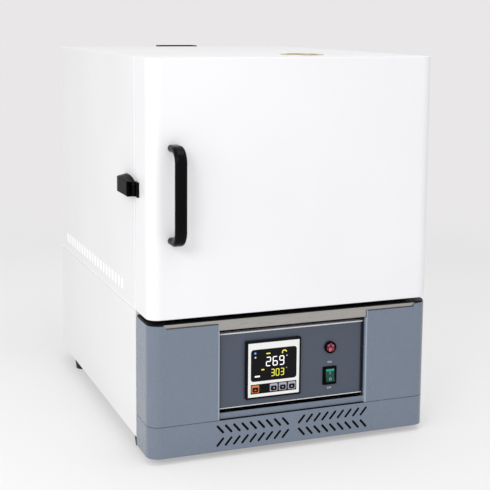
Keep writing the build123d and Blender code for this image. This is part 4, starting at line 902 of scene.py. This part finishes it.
def studioWorld():
    # what camera, gloss and glass see is the backdrop; everything else gets the fill light
    world = bpy.data.worlds.new("studio")
    bpy.context.scene.world = world
    world.use_nodes = True
    tree = world.node_tree
    tree.nodes.clear()
    path = addNode(tree, "ShaderNodeLightPath").outputs
    fill = addNode(tree, "ShaderNodeBackground", {
        "Color": fromHex(stage["fill"]), "Strength": stage["fillStrength"]})
    seen = addNode(tree, "ShaderNodeBackground", {
        "Color": fromHex(stage["backdrop"]), "Strength": 1.0})
    either = compute(tree, "MAXIMUM", path["Is Camera Ray"], path["Is Glossy Ray"])
    shown = compute(tree, "MAXIMUM", either, path["Is Transmission Ray"])
    mix = addNode(tree, "ShaderNodeMixShader", {0: shown, 1: fill.outputs[0], 2: seen.outputs[0]})
    addNode(tree, "ShaderNodeOutputWorld", {"Surface": mix.outputs[0]})


def studioFloor():
    # far from the object the floor shows the backdrop's colour, so that no horizon is seen
    half = stage["floorSize"] / 2
    mesh = bpy.data.meshes.new("studioFloor")
    mesh.from_pydata([(-half, -half, 0), (half, -half, 0), (half, half, 0), (-half, half, 0)],
                     [], [[0, 1, 2, 3]])
    material, tree, shader, place = startMaterial(
        "paleFloor", Roughness=stage["floorRoughness"], Specular_IOR_Level=stage["floorShine"],
        Base_Color=fromHex(stage["floor"]))
    away = addNode(tree, "ShaderNodeVectorMath", {0: place}, operation="LENGTH").outputs["Value"]
    fade = addNode(tree, "ShaderNodeMapRange", {
        "Value": away, "From Min": stage["fadeFrom"], "From Max": stage["fadeTo"]},
        interpolation_type="SMOOTHSTEP").outputs["Result"]
    path = addNode(tree, "ShaderNodeLightPath").outputs
    direct = compute(tree, "MAXIMUM", path["Is Camera Ray"], path["Is Glossy Ray"])
    least = compute(tree, "MAXIMUM", fade, stage["ownLight"])
    backdrop = addNode(tree, "ShaderNodeEmission", {
        "Color": blendColour(tree, fade, stage["nearFloor"], stage["backdrop"]),
        "Strength": 1.0})
    mix = addNode(tree, "ShaderNodeMixShader", {
        0: compute(tree, "MULTIPLY", least, direct), 1: shader.outputs[0],
        2: backdrop.outputs[0]})
    tree.links.new(mix.outputs[0], tree.nodes["Material Output"].inputs["Surface"])
    mesh.materials.append(material)
    return putIn("studioFloor", mesh)


studioWorld()
floorPiece = studioFloor()

lamps = {    # place and side of each square lamp in metres, power in watts
    "keyBox": {"place": (-1.6, -2.0, 1.6), "size": 0.8, "power": 16.5},
    "leftBox": {"place": (-1.7, -0.95, 0.95), "size": 0.9, "power": 5.2},
    "rightBox": {"place": (2.4, -1.8, 1.6), "size": 1.6, "power": 1},
    "topBox": {"place": (0.2, -0.9, 3.0), "size": 1.6, "power": 19},
}
for name, values in lamps.items():
    data = bpy.data.lights.new(name, "AREA")
    data.shape = "SQUARE"
    data.size = values["size"]
    data.energy = values["power"]
    lamp = putIn(name, data)
    lamp.location = values["place"]
    toAim = Vector(stage["aim"]) - lamp.location
    lamp.rotation_euler = toAim.to_track_quat("-Z", "Y").to_euler()
print("lamps set")

# Camera: focal length and frame in pixels, sensor in millimetres, place in metres, turns in
# degrees. lift is the share of the frame by which the lens is shifted down.
view = {
    "focal": 1135.749, "frame": 490, "sensor": 36.0, "lift": 0.16,
    "place": (-0.720387, -1.943866, 0.69968), "turn": -21.117, "tip": 7.506, "roll": 0.474,
}
cameraData = bpy.data.cameras.new("camera")
cameraData.sensor_width = view["sensor"]
cameraData.lens = view["focal"] / view["frame"] * view["sensor"]
cameraData.shift_y = -view["lift"]
camera = putIn("camera", cameraData)
camera.location = view["place"]
aimed = Euler((radians(90 - view["tip"]), 0, radians(view["turn"])), "XYZ").to_matrix()
camera.rotation_euler = (aimed @ Matrix.Rotation(radians(view["roll"]), 3, "Z")).to_euler()
bpy.context.scene.camera = camera
bpy.context.scene.view_settings.view_transform = "Standard"
print("camera set")
